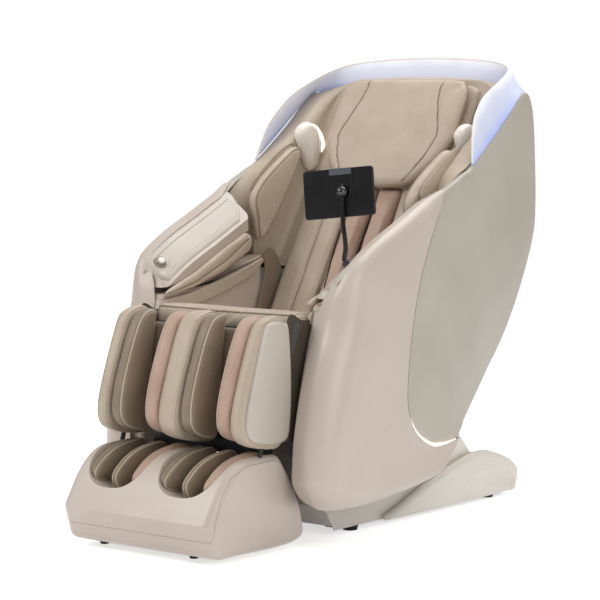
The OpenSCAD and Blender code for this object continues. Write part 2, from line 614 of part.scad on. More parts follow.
// Where a rail's rear edge stands at height z, and the front of the rear cover there
function rail_y(z) = let (q = rail_rear - 4)
    from_back([q, (z - back_at[1] + q * sin(back_lean)) / cos(back_lean)])[0];
function cover_front(z) = min(cover_at(z - 6), cover_at(z + 6)) - shell_t - 0.2;
cushion_side_w = seat_x - 4;
module back_cushion() color("#c6b6a1") back_plane() facing() difference() {
    slab([[-196, -292], [196, -292], [200, -80], [cushion_side_w, -60], [cushion_side_w, 300],
        [230, 480], [200, 498], [-200, 498], [-230, 480], [-cushion_side_w, 300], [-cushion_side_w, -60],
        [-200, -80]], -back_t, 0, 10, 10);
    translate([-back_t - 10, 0, 0]) block([0, -roll_w - ease, -400], [back_t + 30, roll_w + ease, 160]);
}
module back_rolls() color("#cbb0a0") back_plane() facing() for (s = [-1, 1])
    slab([[s * ease, -286], [s * roll_w, -286], [s * roll_w, 159], [s * ease, 159]], -back_t + 2, 4, 14, 14);

pillow = [[-0.36, 0.5], [0.36, 0.5], [0.46, 0.45], [0.5, 0.34], [0.5, -0.02], [0.45, -0.22],
    [0.36, -0.38], [0.24, -0.48], [0, -0.5], [-0.24, -0.48], [-0.36, -0.38], [-0.45, -0.22], [-0.5, -0.02],
    [-0.5, 0.34], [-0.46, 0.45]];
pillow_up = 318;
module headrest_pillow() color("#cab9a4") back_plane() facing() translate([0, 0, pillow_up])
    slab([for (p = pillow) [p[0] * pillow_w, p[1] * pillow_h]], ease, pillow_t, 16, 16, 6);

// Linings and pads end on the back frame's wing
lining_in = 296;
lining_side = concat(open_curve([[146, 700], [152, 780], [196, 905], [262, 966], [385, 1062],
    [462, 1122]], 2), [for (u = [316, 130, -70]) from_back([lining_back, u])]);
module side_lining() color("#b9a893") slab(lining_side, lining_in, 330, 10, 8);
module side_lining_left() side_lining();
module side_lining_right() mirror([1, 0, 0]) side_lining();

outer_pad = [[180, 745], [132, 830], [114, 886], [160, 930], [240, 985], [300, 1008], [312, 985],
    [270, 900], [215, 790]];
inner_pad = [[118, 735], [100, 800], [92, 858], [134, 910], [220, 968], [278, 996], [302, 975],
    [260, 900], [180, 790]];
module shoulder_pads() color("#bba892") {
    slab(outer_pad, lining_in - ease - 11, lining_in - ease, 6, 8);
    slab(inner_pad, 246, lining_in - 2 * ease - 11, 12, 12, 3);
}
module shoulder_pads_left() shoulder_pads();
module shoulder_pads_right() mirror([1, 0, 0]) shoulder_pads();

speaker = [[306, 1034], [330, 1058], [362, 1062], [392, 1042], [402, 1000], [396, 940], [360, 925],
    [336, 960], [318, 1000]];
module speaker_left() color("#e8e2d8") slab(closed_curve(speaker, 2), lining_in - ease - 40,
    lining_in - ease, 14, 14);
module speaker_right() mirror([1, 0, 0]) speaker_left();

// Rear cover between the rear shells
cover_line = [[452, 562], [494, 640], [528, 780], [533, 980], [529, 1080], [536, 1134]];
function cover_at(z) = lookup(z, [for (p = open_curve(cover_line, 3)) [p[1], p[0]]]);
module back_cover() color("#b9b2a7") {
    line = open_curve(cover_line, 3);
    plate(concat(line, [for (p = rev(line)) p - [shell_t, 0]]), -346, 346);
}

// Canopy: foot of the wall as [X, Y, Z], then its top edge
canopy_foot = [[372, 240, 955], [372, 250, 964], [371, 274, 981], [371, 310, 1007], [370, 360, 1044],
    [368, 430, 1099], [362, 486, 1142], [346, 522, 1148], [290, 540, 1146], [200, 548, 1144],
    [100, 551, 1143], [0, 552, 1143]];
canopy_rim = [[371, 241, 962], [363, 251, 1000], [352, 270, 1052], [342, 299, 1093], [334, 350, 1138],
    [328, 420, 1172], [318, 480, 1198], [298, 520, 1216], [252, 546, 1230], [180, 560, 1238],
    [92, 567, 1243], [0, 569, 1245]];
function mirrored(p) = concat(p, [for (i = [len(p) - 2:-1:0]) [-p[i][0], p[i][1], p[i][2]]]);
module canopy() color("#eef2fb", 0.7) {
    foot = open_curve(mirrored(canopy_foot), 2);
    rim = open_curve(mirrored(canopy_rim), 2);
    n = len(foot);
    lift = canopy_top - 1245;
    loft([for (i = [0:n - 1]) let (f = foot[i], r = rim[i] + [0, 0, lift],
        along = unit(foot[min(i + 1, n - 1)] - foot[max(i - 1, 0)]), out = unit(cross(along, r - f)))
        [for (q = [[0, 0], [4, 0.4], [3, 0.8], [0, 1], [-canopy_t, 1], [3 - canopy_t, 0.8],
            [4 - canopy_t, 0.4], [-canopy_t, 0]]) f + (r - f) * q[1] - out * q[0]]]);
}

// Massage carriage on the back rails, at the lumbar end of its run
carriage_up = -220;
knead_y = back_t + 4 + knead_d / 2;
module massage_carriage() color("#6a6764") back_plane() translate([0, 0, carriage_up]) {
    block([ease - rail_in, rail_rear - 8, -45], [rail_in - ease, rail_rear, 45]);
    rod([rail_rear + 26, 0], 56, -80, 80);
    both_sides() {
        block([rail_in - 14, rail_rear - 22, -40], [rail_in - ease, rail_rear, 40]);
        difference() {
            plate([[knead_y - 14, -14], [knead_y + 14, -16], [rail_rear, -30], [rail_rear, 30],
                [knead_y + 14, 16], [knead_y - 14, 14]], 58, 72);
            rod([knead_y, 0], knead_shaft_d + 2 * run_gap, 0, 300);
        }
    }
}
module kneading_rollers() color("#c9a37a") back_plane() translate([0, 0, carriage_up]) {
    rod([knead_y, 0], knead_shaft_d, -124, 124);
    both_sides() for (x = [84, 106]) rod([knead_y, 0], knead_d, x, x + 12);
}

// ---- Calf rest ----

calf_side = [[-402, 598], [-450, 594], [-488, 566], [-540, 440], [-566, 350], [-556, 300], [-514, 276],
    [-440, 262], [-402, 268], [-389, 300], [-381, 420], [-375.5, 520], [-378, 572]];
leg_x = leg_w / 2;
wall_out = leg_x - calf_cover_t;
wall_in = wall_out - calf_wall_w;
half_centre = calf_centre_w / 2;
// Rear line of the calf rest, which the steel back sheet follows
function calf_rear(z) = -372.4 - (560 - z) * 0.0519;
module calf_wall(x0, x1) color("#c1af99") slab(closed_curve(calf_side, 2), x0, x1, 12, 12);
module calf_wall_left() color("#c1af99") difference() {
    calf_wall(wall_in, wall_out);
    slide_rods(run_gap, 60);
}
module calf_wall_right() mirror([1, 0, 0]) calf_wall_left();
module calf_wall_centre() calf_wall(-half_centre, half_centre);
cover_side = [[-412, 575], [-425, 586], [-450, 583], [-474, 560], [-520, 440], [-545, 350], [-536, 306],
    [-505, 288], [-440, 279], [-412, 292], [-405, 430]];
module calf_covers() color("#cdc5ba") both_sides()
    slab(closed_curve(cover_side, 2), wall_out + 0.3, leg_x, 5, 8);
pad_side = [[-410, 600], [-462, 590], [-500, 540], [-548, 420], [-562, 340], [-540, 300], [-490, 280],
    [-450, 290], [-440, 420], [-420, 560]];
module calf_pad(x0) slab(pad_side, x0, x0 + calf_pad_t, 16, 14, 3);
module calf_pads_taupe() color("#93826f") for (x = [-wall_in, half_centre]) calf_pad(x + ease);
module calf_pads_rose() color("#cfae9d") for (x = [-half_centre, wall_in]) calf_pad(x - ease - calf_pad_t);
module calf_back_pad() color("#a8957f") for (s = [-1, 1])
    slab([[calf_rear(556) - ease - 2, 556], [calf_rear(430) - ease - 0.6, 430],
        [calf_rear(300) - ease - 2, 300], [-424, 296], [-436, 430], [-412, 560]],
        s * (half_centre + wall_in) / 2 - 84, s * (half_centre + wall_in) / 2 + 84, 6, 6);
sheet_t = 4;
module leg_frame() color("#55524f") {
    plate([[calf_rear(556), 556], [calf_rear(292), 292], [calf_rear(292) + sheet_t, 292],
        [calf_rear(556) + sheet_t, 556]], -wall_out + 2, wall_out - 2);
    both_sides() {
        plate([[calf_rear(545), 545], [calf_rear(500), 500], [calf_rear(500) + sheet_t, 500],
            [calf_rear(545) + sheet_t, 545]], wall_in, wall_out + 4.3);
        // Lug outside the wall, out to the knee pin
        plate([[-371, 500], [-367, 500], [-340, 557], [-338, 566], [-344, 576], [-354, 577],
            [-363, 570], [-373, 545]], wall_out + 0.3, wall_out + 4.3);
        rod(knee, leg_pin_d, plate_in + 0.2, wall_out + 4.3);
    }
    for (z = [330, 500]) rod([calf_rear(z) + sheet_t + 9, z], 22, -180, 180);
}

// ---- Foot rest ----

// The foot rest slides out along the shin: pitch of its rods, and where they leave the foot rest
shin = 19;
slide_foot = [-475, 256];
slide_d = 12;
slide_x = 231;
function along_shin(up) = slide_foot + up * [sin(shin), cos(shin)];
module slide_rods(gap, extra) both_sides() translate([slide_x, along_shin(-70)[0], along_shin(-70)[1]])
    rotate([-shin, 0, 0]) cylinder(d = slide_d + 2 * gap, h = foot_travel + 160 + extra);
module foot_slides() color("silver") slide_rods(0, 0);

foot_side = [[-330, 26], [-580, 22], [-655, 25], [-684, 44], [-691, 72], [-690, 118], [-676, 142],
    [-640, 185], [-600, 226], [-545, foot_rest_h + 5], [-440, foot_rest_h + 6], [-402, foot_rest_h - 8],
    [-345, 150], [-318, 90]];
foot_x = foot_rest_w / 2;
// Parting line between the top cover and the tub, seen from the side
parting = [[-720, 66], [-672, 66], [-664, 112], [-640, 168], [-600, 214], [-545, 236], [-440, 238],
    [-405, 226], [-380, 190], [-340, 110], [-290, 66], [-290, 0], [-720, 0]];
cheek = 12;
well_x = 118;
well_pitch = 12;
well_floor = 160;
module foot_solid() slab(closed_curve(foot_side, 2), -foot_x, foot_x, 26, 22);
// The tub's share of the foot rest, let out by "gap" all round
module tub_region(gap) difference() {
    plate(let (p = ccw(parting), into = inward(p)) [for (i = [0:len(p) - 1]) p[i] - into[i] * gap],
        -foot_x - 5, foot_x + 5);
    block([cheek - foot_x + gap, -760, 66 + gap], [foot_x - cheek - gap, -200, 300]);
}
// U-shaped channel for one foot, its floor falling to the heel
u_shape = [[-1.06, 1.6], [-1, 0.9], [-0.94, 0.62], [-0.8, 0.32], [-0.56, 0.11], [-0.28, 0.02], [0, 0],
    [0.28, 0.02], [0.56, 0.11], [0.8, 0.32], [0.94, 0.62], [1, 0.9], [1.06, 1.6]];
well_deep = 100;
module well(side, in) translate([side * well_x, -655, well_floor]) rotate([-well_pitch, 0, 0])
    rotate([-90, 0, 0]) mirror([0, 1, 0]) translate([0, 0, -60 + in]) linear_extrude(310 - 2 * in)
    polygon([for (q = u_shape) [q[0] * (well_w / 2 - in), q[1] * well_deep + in]]);
roller_at = [-520, 118];
roller_shaft_d = 10;
module foot_shell() color("#c8beb2") difference() {
    foot_solid();
    tub_region(ease);
    for (s = [-1, 1]) {
        well(s, 0);
        for (x = [-26, 26]) rod(roller_at, foot_roller_d + 6, s * well_x + x - 16, s * well_x + x + 16);
    }
    rod(roller_at, roller_shaft_d + 2 * run_gap, -foot_x + cheek + 4, foot_x - cheek - 4);
    slide_rods(run_gap, 0);
}
module foot_base() color("#c3b9ad") difference() {
    intersection() {
        foot_solid();
        tub_region(0);
    }
    slide_rods(run_gap, 0);
    at_feet() cylinder(d = 27, h = 18.4);
}
module at_feet() for (x = [-146, 154], y = [-636, -380]) translate([x, y, 12]) children();
module foot_feet() color("#1c1c1c") at_feet() cylinder(d1 = 22, d2 = 26, h = 18);
// Pads on both walls of each well and one standing between them
liner = [[-648, 190], [-620, 214], [-570, 246], [-500, 262], [-436, 260], [-418, 200], [-424, 120],
    [-500, 110], [-600, 132]];
module foot_pad(side, from, to) intersection() {
    slab(liner, side * well_x + from, side * well_x + to, 10, 10);
    well(side, ease);
}
module foot_pads_taupe() color("#8c7b69") for (s = [-1, 1]) {
    foot_pad(s, 2 - well_w / 2, foot_pad_t + 2 - well_w / 2);
    foot_pad(s, -12, 12);
}
module foot_pads_rose() color("#cfae9d") for (s = [-1, 1])
    foot_pad(s, well_w / 2 - foot_pad_t - 2, well_w / 2 - 2);
module foot_rollers() color("#333333") {
    rod(roller_at, roller_shaft_d, 5 + cheek - foot_x, foot_x - cheek - 5);
    for (s = [-1, 1], x = [-26, 26]) rod(roller_at, foot_roller_d, s * well_x + x - 12, s * well_x + x + 12);
}

base_frame();
base_tower();
base_cover_left();
base_cover_right();
base_feet();
power_inlet();
mains_switch();
wheel_axle();
wheel_left();
wheel_right();
seat_frame();
side_shell_left();
side_shell_right();
led_strips();
arm_body_left();
arm_body_right();
arm_panel_left();
arm_panel_right();
upper_arm_pads();
lower_arm_pads();
seat_cushion();
control_dial();
power_button();
neck_socket();
gooseneck();
tablet_cable();
ball_joint();
tablet();
back_frame();
rear_shell_left();
rear_shell_right();
back_cover();
canopy();
back_cushion();
back_rolls();
side_lining_left();
side_lining_right();
headrest_pillow();
shoulder_pads_left();
shoulder_pads_right();
speaker_left();
speaker_right();
massage_carriage();
kneading_rollers();
leg_frame();
calf_wall_left();
calf_wall_centre();
calf_wall_right();
calf_covers();
calf_back_pad();
calf_pads_taupe();
calf_pads_rose();
foot_shell();
foot_base();
foot_feet();
foot_pads_taupe();
foot_pads_rose();
foot_rollers();
foot_slides();
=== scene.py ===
# Massage chair in moulded ABS shells and PU leather, dressed round its CAD frame.
# Lengths in the tables are millimetres in the part's own frame: +X is the sitter's left, -Y the
# front, Z up. They turn to metres where a mesh is made.
import math

import bmesh
import bpy
import numpy as np
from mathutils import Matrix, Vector
from mathutils.bvhtree import BVHTree
from mathutils.kdtree import KDTree


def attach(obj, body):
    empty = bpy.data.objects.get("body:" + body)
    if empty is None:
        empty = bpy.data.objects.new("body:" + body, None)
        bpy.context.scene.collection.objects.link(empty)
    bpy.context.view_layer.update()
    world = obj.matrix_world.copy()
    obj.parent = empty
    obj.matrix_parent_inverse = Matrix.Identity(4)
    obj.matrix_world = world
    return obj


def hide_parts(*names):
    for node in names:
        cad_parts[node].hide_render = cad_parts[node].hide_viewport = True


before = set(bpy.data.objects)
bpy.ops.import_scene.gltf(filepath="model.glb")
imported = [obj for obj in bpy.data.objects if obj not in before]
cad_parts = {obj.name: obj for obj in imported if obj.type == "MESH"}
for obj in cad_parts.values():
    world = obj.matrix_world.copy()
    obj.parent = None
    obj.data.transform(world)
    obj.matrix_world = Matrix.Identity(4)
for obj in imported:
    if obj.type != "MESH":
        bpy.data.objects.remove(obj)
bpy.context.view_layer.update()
scene = bpy.context.scene
MM = 0.001

# ---- Camera ----

CAMERA_AT = (3.8954, -4.9226, 1.165)
CAMERA_TURN = 38.5
CAMERA_DIP = 5.203
CAMERA_LENS = 141.0

camera = bpy.data.objects.new("camera", bpy.data.cameras.new("camera"))
scene.collection.objects.link(camera)
scene.camera = camera
camera.data.lens = CAMERA_LENS
camera.data.sensor_width = 36.0
camera.location = CAMERA_AT
camera.rotation_euler = (math.radians(90 - CAMERA_DIP), 0, math.radians(CAMERA_TURN))

# ---- Materials ----


def linear(colour):
    """An sRGB hex colour as linear RGBA."""
    parts = [int(colour[i:i + 2], 16) / 255 for i in (1, 3, 5)]
    return tuple(c / 12.92 if c <= 0.04045 else ((c + 0.055) / 1.055) ** 2.4 for c in parts) + (1.0,)


def add(tree, kind, inputs=None, **settings):
    """Adds a node. Each input is a value, or the output socket of another node."""
    node = tree.nodes.new(kind)
    for key, value in settings.items():
        setattr(node, key, value)
    for key, value in (inputs or {}).items():
        if isinstance(value, bpy.types.NodeSocket):
            tree.links.new(value, node.inputs[key])
        else:
            node.inputs[key].default_value = value
    return node


def new_material(name):
    """An empty material with its tree, its output node and the object's own coordinates."""
    material = bpy.data.materials.new(name)
    material.use_nodes = True
    tree = material.node_tree
    tree.nodes.clear()
    out = add(tree, "ShaderNodeOutputMaterial")
    return material, tree, out, add(tree, "ShaderNodeTexCoord").outputs["Object"]


def noise(tree, at, size_mm, detail=2.0):
    """Noise whose features are about size_mm across."""
    return add(tree, "ShaderNodeTexNoise",
               {"Vector": at, "Scale": 1000 / size_mm, "Detail": detail}).outputs["Fac"]


def spread(tree, factor, low, high, start=0.3, end=0.7):
    """Stretches a noise factor over low to high."""
    return add(tree, "ShaderNodeMapRange", {"Value": factor, "From Min": start, "From Max": end,
                                           "To Min": low, "To Max": high}).outputs["Result"]


def blend_colours(tree, factor, first, second):
    """Runs from the first hex colour to the second."""
    return add(tree, "ShaderNodeMix", {"Factor": factor, "A": linear(first), "B": linear(second)},
               data_type="RGBA").outputs["Result"]


def moulded_plastic(name, colour, deeper, roughness=0.38, coat=0.0, gleam=0.5):
    """Plastic from a fine spark-eroded mould: an even satin with a faint orange peel.

    Rubber, nylon, thread and glass are built the same way, each with its own gloss.
    """
    material, tree, out, at = new_material(name)
    # Flow of the melt shows as a barely uneven tone over a hand's width
    tone = blend_colours(tree, spread(tree, noise(tree, at, 180), 0.0, 1.0), colour, deeper)
    peel = noise(tree, at, 2.2, 3.0)  # 0.5 mm erosion grain, drawn coarser to show
    bump = add(tree, "ShaderNodeBump", {"Height": peel, "Strength": 0.05, "Distance": 0.0004})
    gloss = spread(tree, noise(tree, at, 35), roughness - 0.03, roughness + 0.04)
    shader = add(tree, "ShaderNodeBsdfPrincipled", {
        "Base Color": tone, "Roughness": gloss, "IOR": 1.53, "Specular IOR Level": gleam,
        "Coat Weight": coat, "Coat Roughness": 0.25, "Normal": bump.outputs["Normal"]})
    tree.links.new(shader.outputs["BSDF"], out.inputs["Surface"])
    return material


def pu_leather(name, colour, deeper, roughness=0.5):
    """Polyurethane leather: embossed pebble grain under a soft matt lacquer."""
    material, tree, out, at = new_material(name)
    # Pebbles 1.1 mm across, drawn at 1.8 mm so that they show
    pebble = add(tree, "ShaderNodeTexVoronoi", {"Vector": at, "Scale": 1000 / 1.8},
                 feature="DISTANCE_TO_EDGE")
    crease = spread(tree, pebble.outputs["Distance"], 0.0, 1.0, 0.0, 0.16)
    pull = noise(tree, at, 26, 3.0)
    height = add(tree, "ShaderNodeMath", {0: crease, 1: pull}, operation="ADD").outputs["Value"]
    bump = add(tree, "ShaderNodeBump", {"Height": height, "Strength": 0.16, "Distance": 0.0006})
    # Tone that wanders at random, plus painted shade that darkens the creases between the pebbles
    tone_and_crease_shade = add(tree, "ShaderNodeMath", {0: spread(tree, noise(tree, at, 70, 3.0), 0.0, 0.75),
                                         1: spread(tree, crease, 0.2, 0.0, 0.0, 1.0)}, operation="ADD")
    tone = blend_colours(tree, tone_and_crease_shade.outputs["Value"], colour, deeper)
    gloss = spread(tree, noise(tree, at, 18), roughness - 0.05, roughness + 0.07)
    shader = add(tree, "ShaderNodeBsdfPrincipled", {
        "Base Color": tone, "Roughness": gloss, "IOR": 1.5, "Sheen Weight": 0.12, "Sheen Roughness": 0.4,
        "Normal": bump.outputs["Normal"]})
    tree.links.new(shader.outputs["BSDF"], out.inputs["Surface"])
    return material


def coated_metal(name, colour, deeper, roughness, metallic=0.0, grain_mm=3.0):
    """Powder-coated, anodised or ground metal: fine even grain, a little tone in it."""
    material, tree, out, at = new_material(name)
    grain = noise(tree, at, grain_mm, 4.0)
    tone = blend_colours(tree, spread(tree, noise(tree, at, 60), 0.0, 1.0), colour, deeper)
    bump = add(tree, "ShaderNodeBump", {"Height": grain, "Strength": 0.12, "Distance": 0.0003})
    shader = add(tree, "ShaderNodeBsdfPrincipled", {
        "Base Color": tone, "Metallic": metallic, "Normal": bump.outputs["Normal"],
        "Roughness": spread(tree, grain, roughness - 0.05, roughness + 0.05)})
    tree.links.new(shader.outputs["BSDF"], out.inputs["Surface"])
    return material


def lit_diffuser(name, colour, strength):
    """Opal strip over LEDs: an even glow."""
    material, tree, out, at = new_material(name)
    # Each LED behind the opal lifts the glow a little every 9 mm
    glow = spread(tree, noise(tree, at, 9, 0.0), strength * 0.94, strength * 1.06)
    shader = add(tree, "ShaderNodeBsdfPrincipled", {
        "Base Color": linear("#fff6ea"), "Roughness": 0.5, "Emission Color": linear(colour),
        "Emission Strength": glow})
    tree.links.new(shader.outputs["BSDF"], out.inputs["Surface"])
    return material


def frosted_canopy(name):
    """Frosted polycarbonate, edge-lit in blue from the foot of the wall: white above, blue low down."""
    material, tree, out, at = new_material(name)
    rise = add(tree, "ShaderNodeAttribute", attribute_name="rise").outputs["Fac"]
    mist = spread(tree, noise(tree, at, 90, 1.0), -0.06, 0.06)
    height = add(tree, "ShaderNodeMath", {0: rise, 1: mist}, operation="ADD").outputs["Value"]
    ramp = add(tree, "ShaderNodeValToRGB", {"Fac": height})
    stops = [(0.0, "#96a8e2"), (0.08, "#aab5de"), (0.3, "#bfc4da"), (0.7, "#cdcfdf"), (1.0, "#ececf1")]
    ramp.color_ramp.elements[0].position = stops[0][0]
    ramp.color_ramp.elements[1].position = stops[-1][0]
    for position, _ in stops[1:-1]:
        ramp.color_ramp.elements.new(position)
    for element, (_, colour) in zip(ramp.color_ramp.elements, stops):
        element.color = linear(colour)
    shader = add(tree, "ShaderNodeBsdfPrincipled", {
        "Base Color": ramp.outputs["Color"], "Roughness": 0.42, "IOR": 1.58,
        "Emission Color": ramp.outputs["Color"], "Emission Strength": 0.14})
    tree.links.new(shader.outputs["BSDF"], out.inputs["Surface"])
    return material


SHELL_FRONT = moulded_plastic("abs satin warm beige", "#c1b4a9", "#bcaea2", 0.36, 0.15)
SHELL_REAR = moulded_plastic("abs satin grey beige", "#b1aa9e", "#aaa296", 0.4, 0.1)
# Pale grey of the base, set lighter than its own colour as painted light, making up for the shade it sits in
# under the shells
BASE_PLASTIC = moulded_plastic("abs satin light grey", "#e0dad1", "#d9d2c8", 0.35, 0.1)
PANEL_PLASTIC = moulded_plastic("abs satin pale grey", "#beb5aa", "#b8aea2", 0.36, 0.1)
CREAM_PLASTIC = moulded_plastic("abs gloss cream", "#e9e3d9", "#e2dacd", 0.25, 0.3)
BEIGE_LEATHER = pu_leather("pu leather beige", "#bbac9b", "#ad9d8a")
TAUPE_LEATHER = pu_leather("pu leather taupe", "#897967", "#796a58", 0.46)
ROSE_LEATHER = pu_leather("pu leather dusty rose", "#b99c8b", "#aa8d7b", 0.52)
PIPING_LEATHER = pu_leather("pu leather piping", "#bfb09c", "#b2a28d")
PIPING_DARK = pu_leather("pu leather piping dark", "#94836f", "#857460")
SEAM_THREAD = moulded_plastic("polyester thread brown", "#5f5142", "#564939", 0.7)
FRAME_STEEL = coated_metal("powder coated steel", "#4c4a48", "#403f3d", 0.55)
BRIGHT_STEEL = coated_metal("ground steel", "#b9b9bc", "#a8a8ac", 0.25, 1.0, 1.2)
DIAL_METAL = coated_metal("anodised aluminium taupe", "#a39a8e", "#968d81", 0.32, 0.7, 4.0)
BLACK_PLASTIC = moulded_plastic("abs matt black", "#1b1c1e", "#141517", 0.42)
BLACK_RUBBER = moulded_plastic("rubber black", "#161616", "#101010", 0.75, 0.0, 0.25)
NYLON = moulded_plastic("nylon roller", "#c7a67c", "#bc996d", 0.45)
TABLET_BLACK = moulded_plastic("abs gloss black", "#0b0b0d", "#08080a", 0.3, 0.0, 0.3)
TABLET_CLIP = coated_metal("anodised grey clip", "#5d6269", "#52575e", 0.35, 0.6)
# Dark taupe for the cheeks beside the calf rest, where it is painted shade
SHADE_TAUPE = moulded_plastic("abs satin dark taupe", "#4b4239", "#433a32", 0.6, 0.0, 0.3)
BALL_BLACK = moulded_plastic("nylon polished black", "#101012", "#0c0c0e", 0.16, 0.3, 0.6)
SCREEN_GLASS = moulded_plastic("glass black", "#0b0c0e", "#090a0c", 0.08, 0.6)
DARK_METAL = coated_metal("blackened steel", "#1f1e1d", "#191817", 0.6)
WARM_LIGHT = lit_diffuser("opal light warm white", "#fff1e2", 2.2)
CANOPY = frosted_canopy("polycarbonate frosted")

# ---- Curves ----


def span_points(a, b, c, d, count):
    """Points of a Catmull-Rom span from b, the end left out."""
    t = np.arange(count)[:, None] / count
    return 0.5 * (2 * b + (c - a) * t + (2 * a - 5 * b + 4 * c - d) * t ** 2
                  + (3 * b - a - 3 * c + d) * t ** 3)


def closed_curve(points, count=8):
    """Smooth closed line through the points, count steps from each to the next."""
    p = np.array(points, float)
    n = len(p)
    return np.vstack([span_points(p[i - 1], p[i], p[(i + 1) % n], p[(i + 2) % n], count) for i in range(n)])


def open_curve(points, count=8):
    """Smooth line through the points, count steps from each to the next."""
    p = np.array(points, float)
    q = np.vstack([2 * p[0] - p[1], p, 2 * p[-1] - p[-2]])
    spans = [span_points(q[i - 1], q[i], q[i + 1], q[i + 2], count) for i in range(1, len(p))]
    return np.vstack(spans + [p[-1:]])


def even(points, step, closed=False):
    """The line's points at an even spacing of about step."""
    p = np.array(points, float)
    if closed:
        p = np.vstack([p, p[:1]])
    run = np.concatenate([[0], np.cumsum(np.linalg.norm(np.diff(p, axis=0), axis=1))])
    count = max(3, int(round(run[-1] / step)))
    at = np.linspace(0, run[-1], count + 1)
    if closed:
        at = at[:-1]
    return np.stack([np.interp(at, run, p[:, k]) for k in range(p.shape[1])], axis=1)


def ccw(points):
    """The outline counter-clockwise."""
    p = np.array(points, float)
    following = np.roll(p, -1, axis=0)
    area = np.sum(p[:, 0] * following[:, 1] - p[:, 1] * following[:, 0])
    return p if area > 0 else p[::-1]


def inward(points):
    """Inward normals of a counter-clockwise outline."""
    along = np.roll(points, -1, axis=0) - np.roll(points, 1, axis=0)
    along /= np.maximum(np.linalg.norm(along, axis=1, keepdims=True), 1e-9)
    return np.stack([-along[:, 1], along[:, 0]], axis=1)


def inset(points, by):
    """The outline moved inwards."""
    p = ccw(points)
    return p + inward(p) * by


def stepped_in(points, by):
    """The counter-clockwise outline moved inwards, point for point, with no loops at tight corners."""
    by = np.broadcast_to(by, len(points))
    p = points + inward(points) * by[:, None]
    good = edge_distance(p, points) > by * 0.9 - 0.01
    if np.max(by) < 0.5 or good.sum() < 8:
        return p
    n = len(p)
    spots = np.flatnonzero(good)
    around = np.concatenate([spots - n, spots, spots + n])
    p = np.column_stack([np.interp(np.arange(n), around, np.tile(p[spots, k], 3)) for k in range(2)])
    for _ in range(int(by.max() / 2)):
        p = (np.roll(p, 1, 0) + 2 * p + np.roll(p, -1, 0)) / 4
    return p


def edge_distance(points, outline):
    """How far each 2-D point is from the outline."""
    a = np.array(outline, float)
    along = np.roll(a, -1, axis=0) - a
    square = np.maximum((along ** 2).sum(1), 1e-9)
    best = np.full(len(points), 1e9)
    for start, run, length in zip(a, along, square):
        t = np.clip(((points - start) @ run) / length, 0, 1)
        best = np.minimum(best, np.linalg.norm(points - (start + t[:, None] * run), axis=1))
    return best


# ---- Frames of the pads: (u, v, w) to the part's frame, w being the thickness ----

LEAN = math.radians(31)
BACK_AT = (240, 750)


def side_plane(p):
    """u = Y, v = Z, w = X."""
    p = np.array(p, float).reshape(-1, 3)
    return p[:, [2, 0, 1]]


def back_plane(p):
    """u = X, v = up the backrest, w = proud of the cushion's face."""
    x, up, proud = np.array(p, float).reshape(-1, 3).T
    return np.stack([x, BACK_AT[0] - proud * math.cos(LEAN) + up * math.sin(LEAN),
                     BACK_AT[1] + proud * math.sin(LEAN) + up * math.cos(LEAN)], axis=1)


# ---- Meshes ----


def mesh_object(name, points, faces, sharp=35):
    """Object from points in millimetres, shaded smooth up to the sharp angle in degrees."""
    mesh = bpy.data.meshes.new(name)
    mesh.from_pydata((np.array(points, float) * MM).tolist(), [], [list(map(int, f)) for f in faces])
    mesh.validate()
    piece = bpy.data.objects.new(name, mesh)
    scene.collection.objects.link(piece)
    shade(piece, sharp)
    return piece


def shade(piece, sharp=35):
    """Smooth shading, broken where faces meet at more than the sharp angle in degrees."""
    piece.data.shade_smooth()
    piece.data.set_sharp_from_angle(angle=math.radians(sharp))


def outward(piece):
    """Turns every face outwards."""
    work = bmesh.new()
    work.from_mesh(piece.data)
    bmesh.ops.recalc_face_normals(work, faces=work.faces)
    work.to_mesh(piece.data)
    work.free()


def bake_modifiers(piece):
    """Turns the modifiers' result into the piece's own mesh."""
    bpy.context.view_layer.update()
    graph = bpy.context.evaluated_depsgraph_get()
    mesh = bpy.data.meshes.new_from_object(piece.evaluated_get(graph))
    piece.modifiers.clear()
    piece.data = mesh


def loft(rings, closed_ends=True, wrap=True):
    """Points and faces of a skin over rings of equal count."""
    rings = [np.array(r, float) for r in rings]
    n, m = len(rings[0]), len(rings)
    points = np.vstack(rings)
    span = n if wrap else n - 1
    faces = [(j * n + i, j * n + (i + 1) % n, (j + 1) * n + (i + 1) % n, (j + 1) * n + i)
             for j in range(m - 1) for i in range(span)]
    if closed_ends:
        points = np.vstack([points, rings[0].mean(0), rings[-1].mean(0)])
        faces += [(n * m, (i + 1) % n, i) for i in range(n)]
        faces += [(n * m + 1, (m - 1) * n + i, (m - 1) * n + (i + 1) % n) for i in range(n)]
    return points, faces


def prism(outline, low, high, place):
    """Closed prism of a 2-D outline between two thicknesses."""
    n = len(outline)
    points = [(u, v, w) for w in (low, high) for u, v in outline]
    faces = [tuple(range(n))[::-1], tuple(range(n, 2 * n))]
    faces += [(i, (i + 1) % n, n + (i + 1) % n, n + i) for i in range(n)]
    return place(points), faces


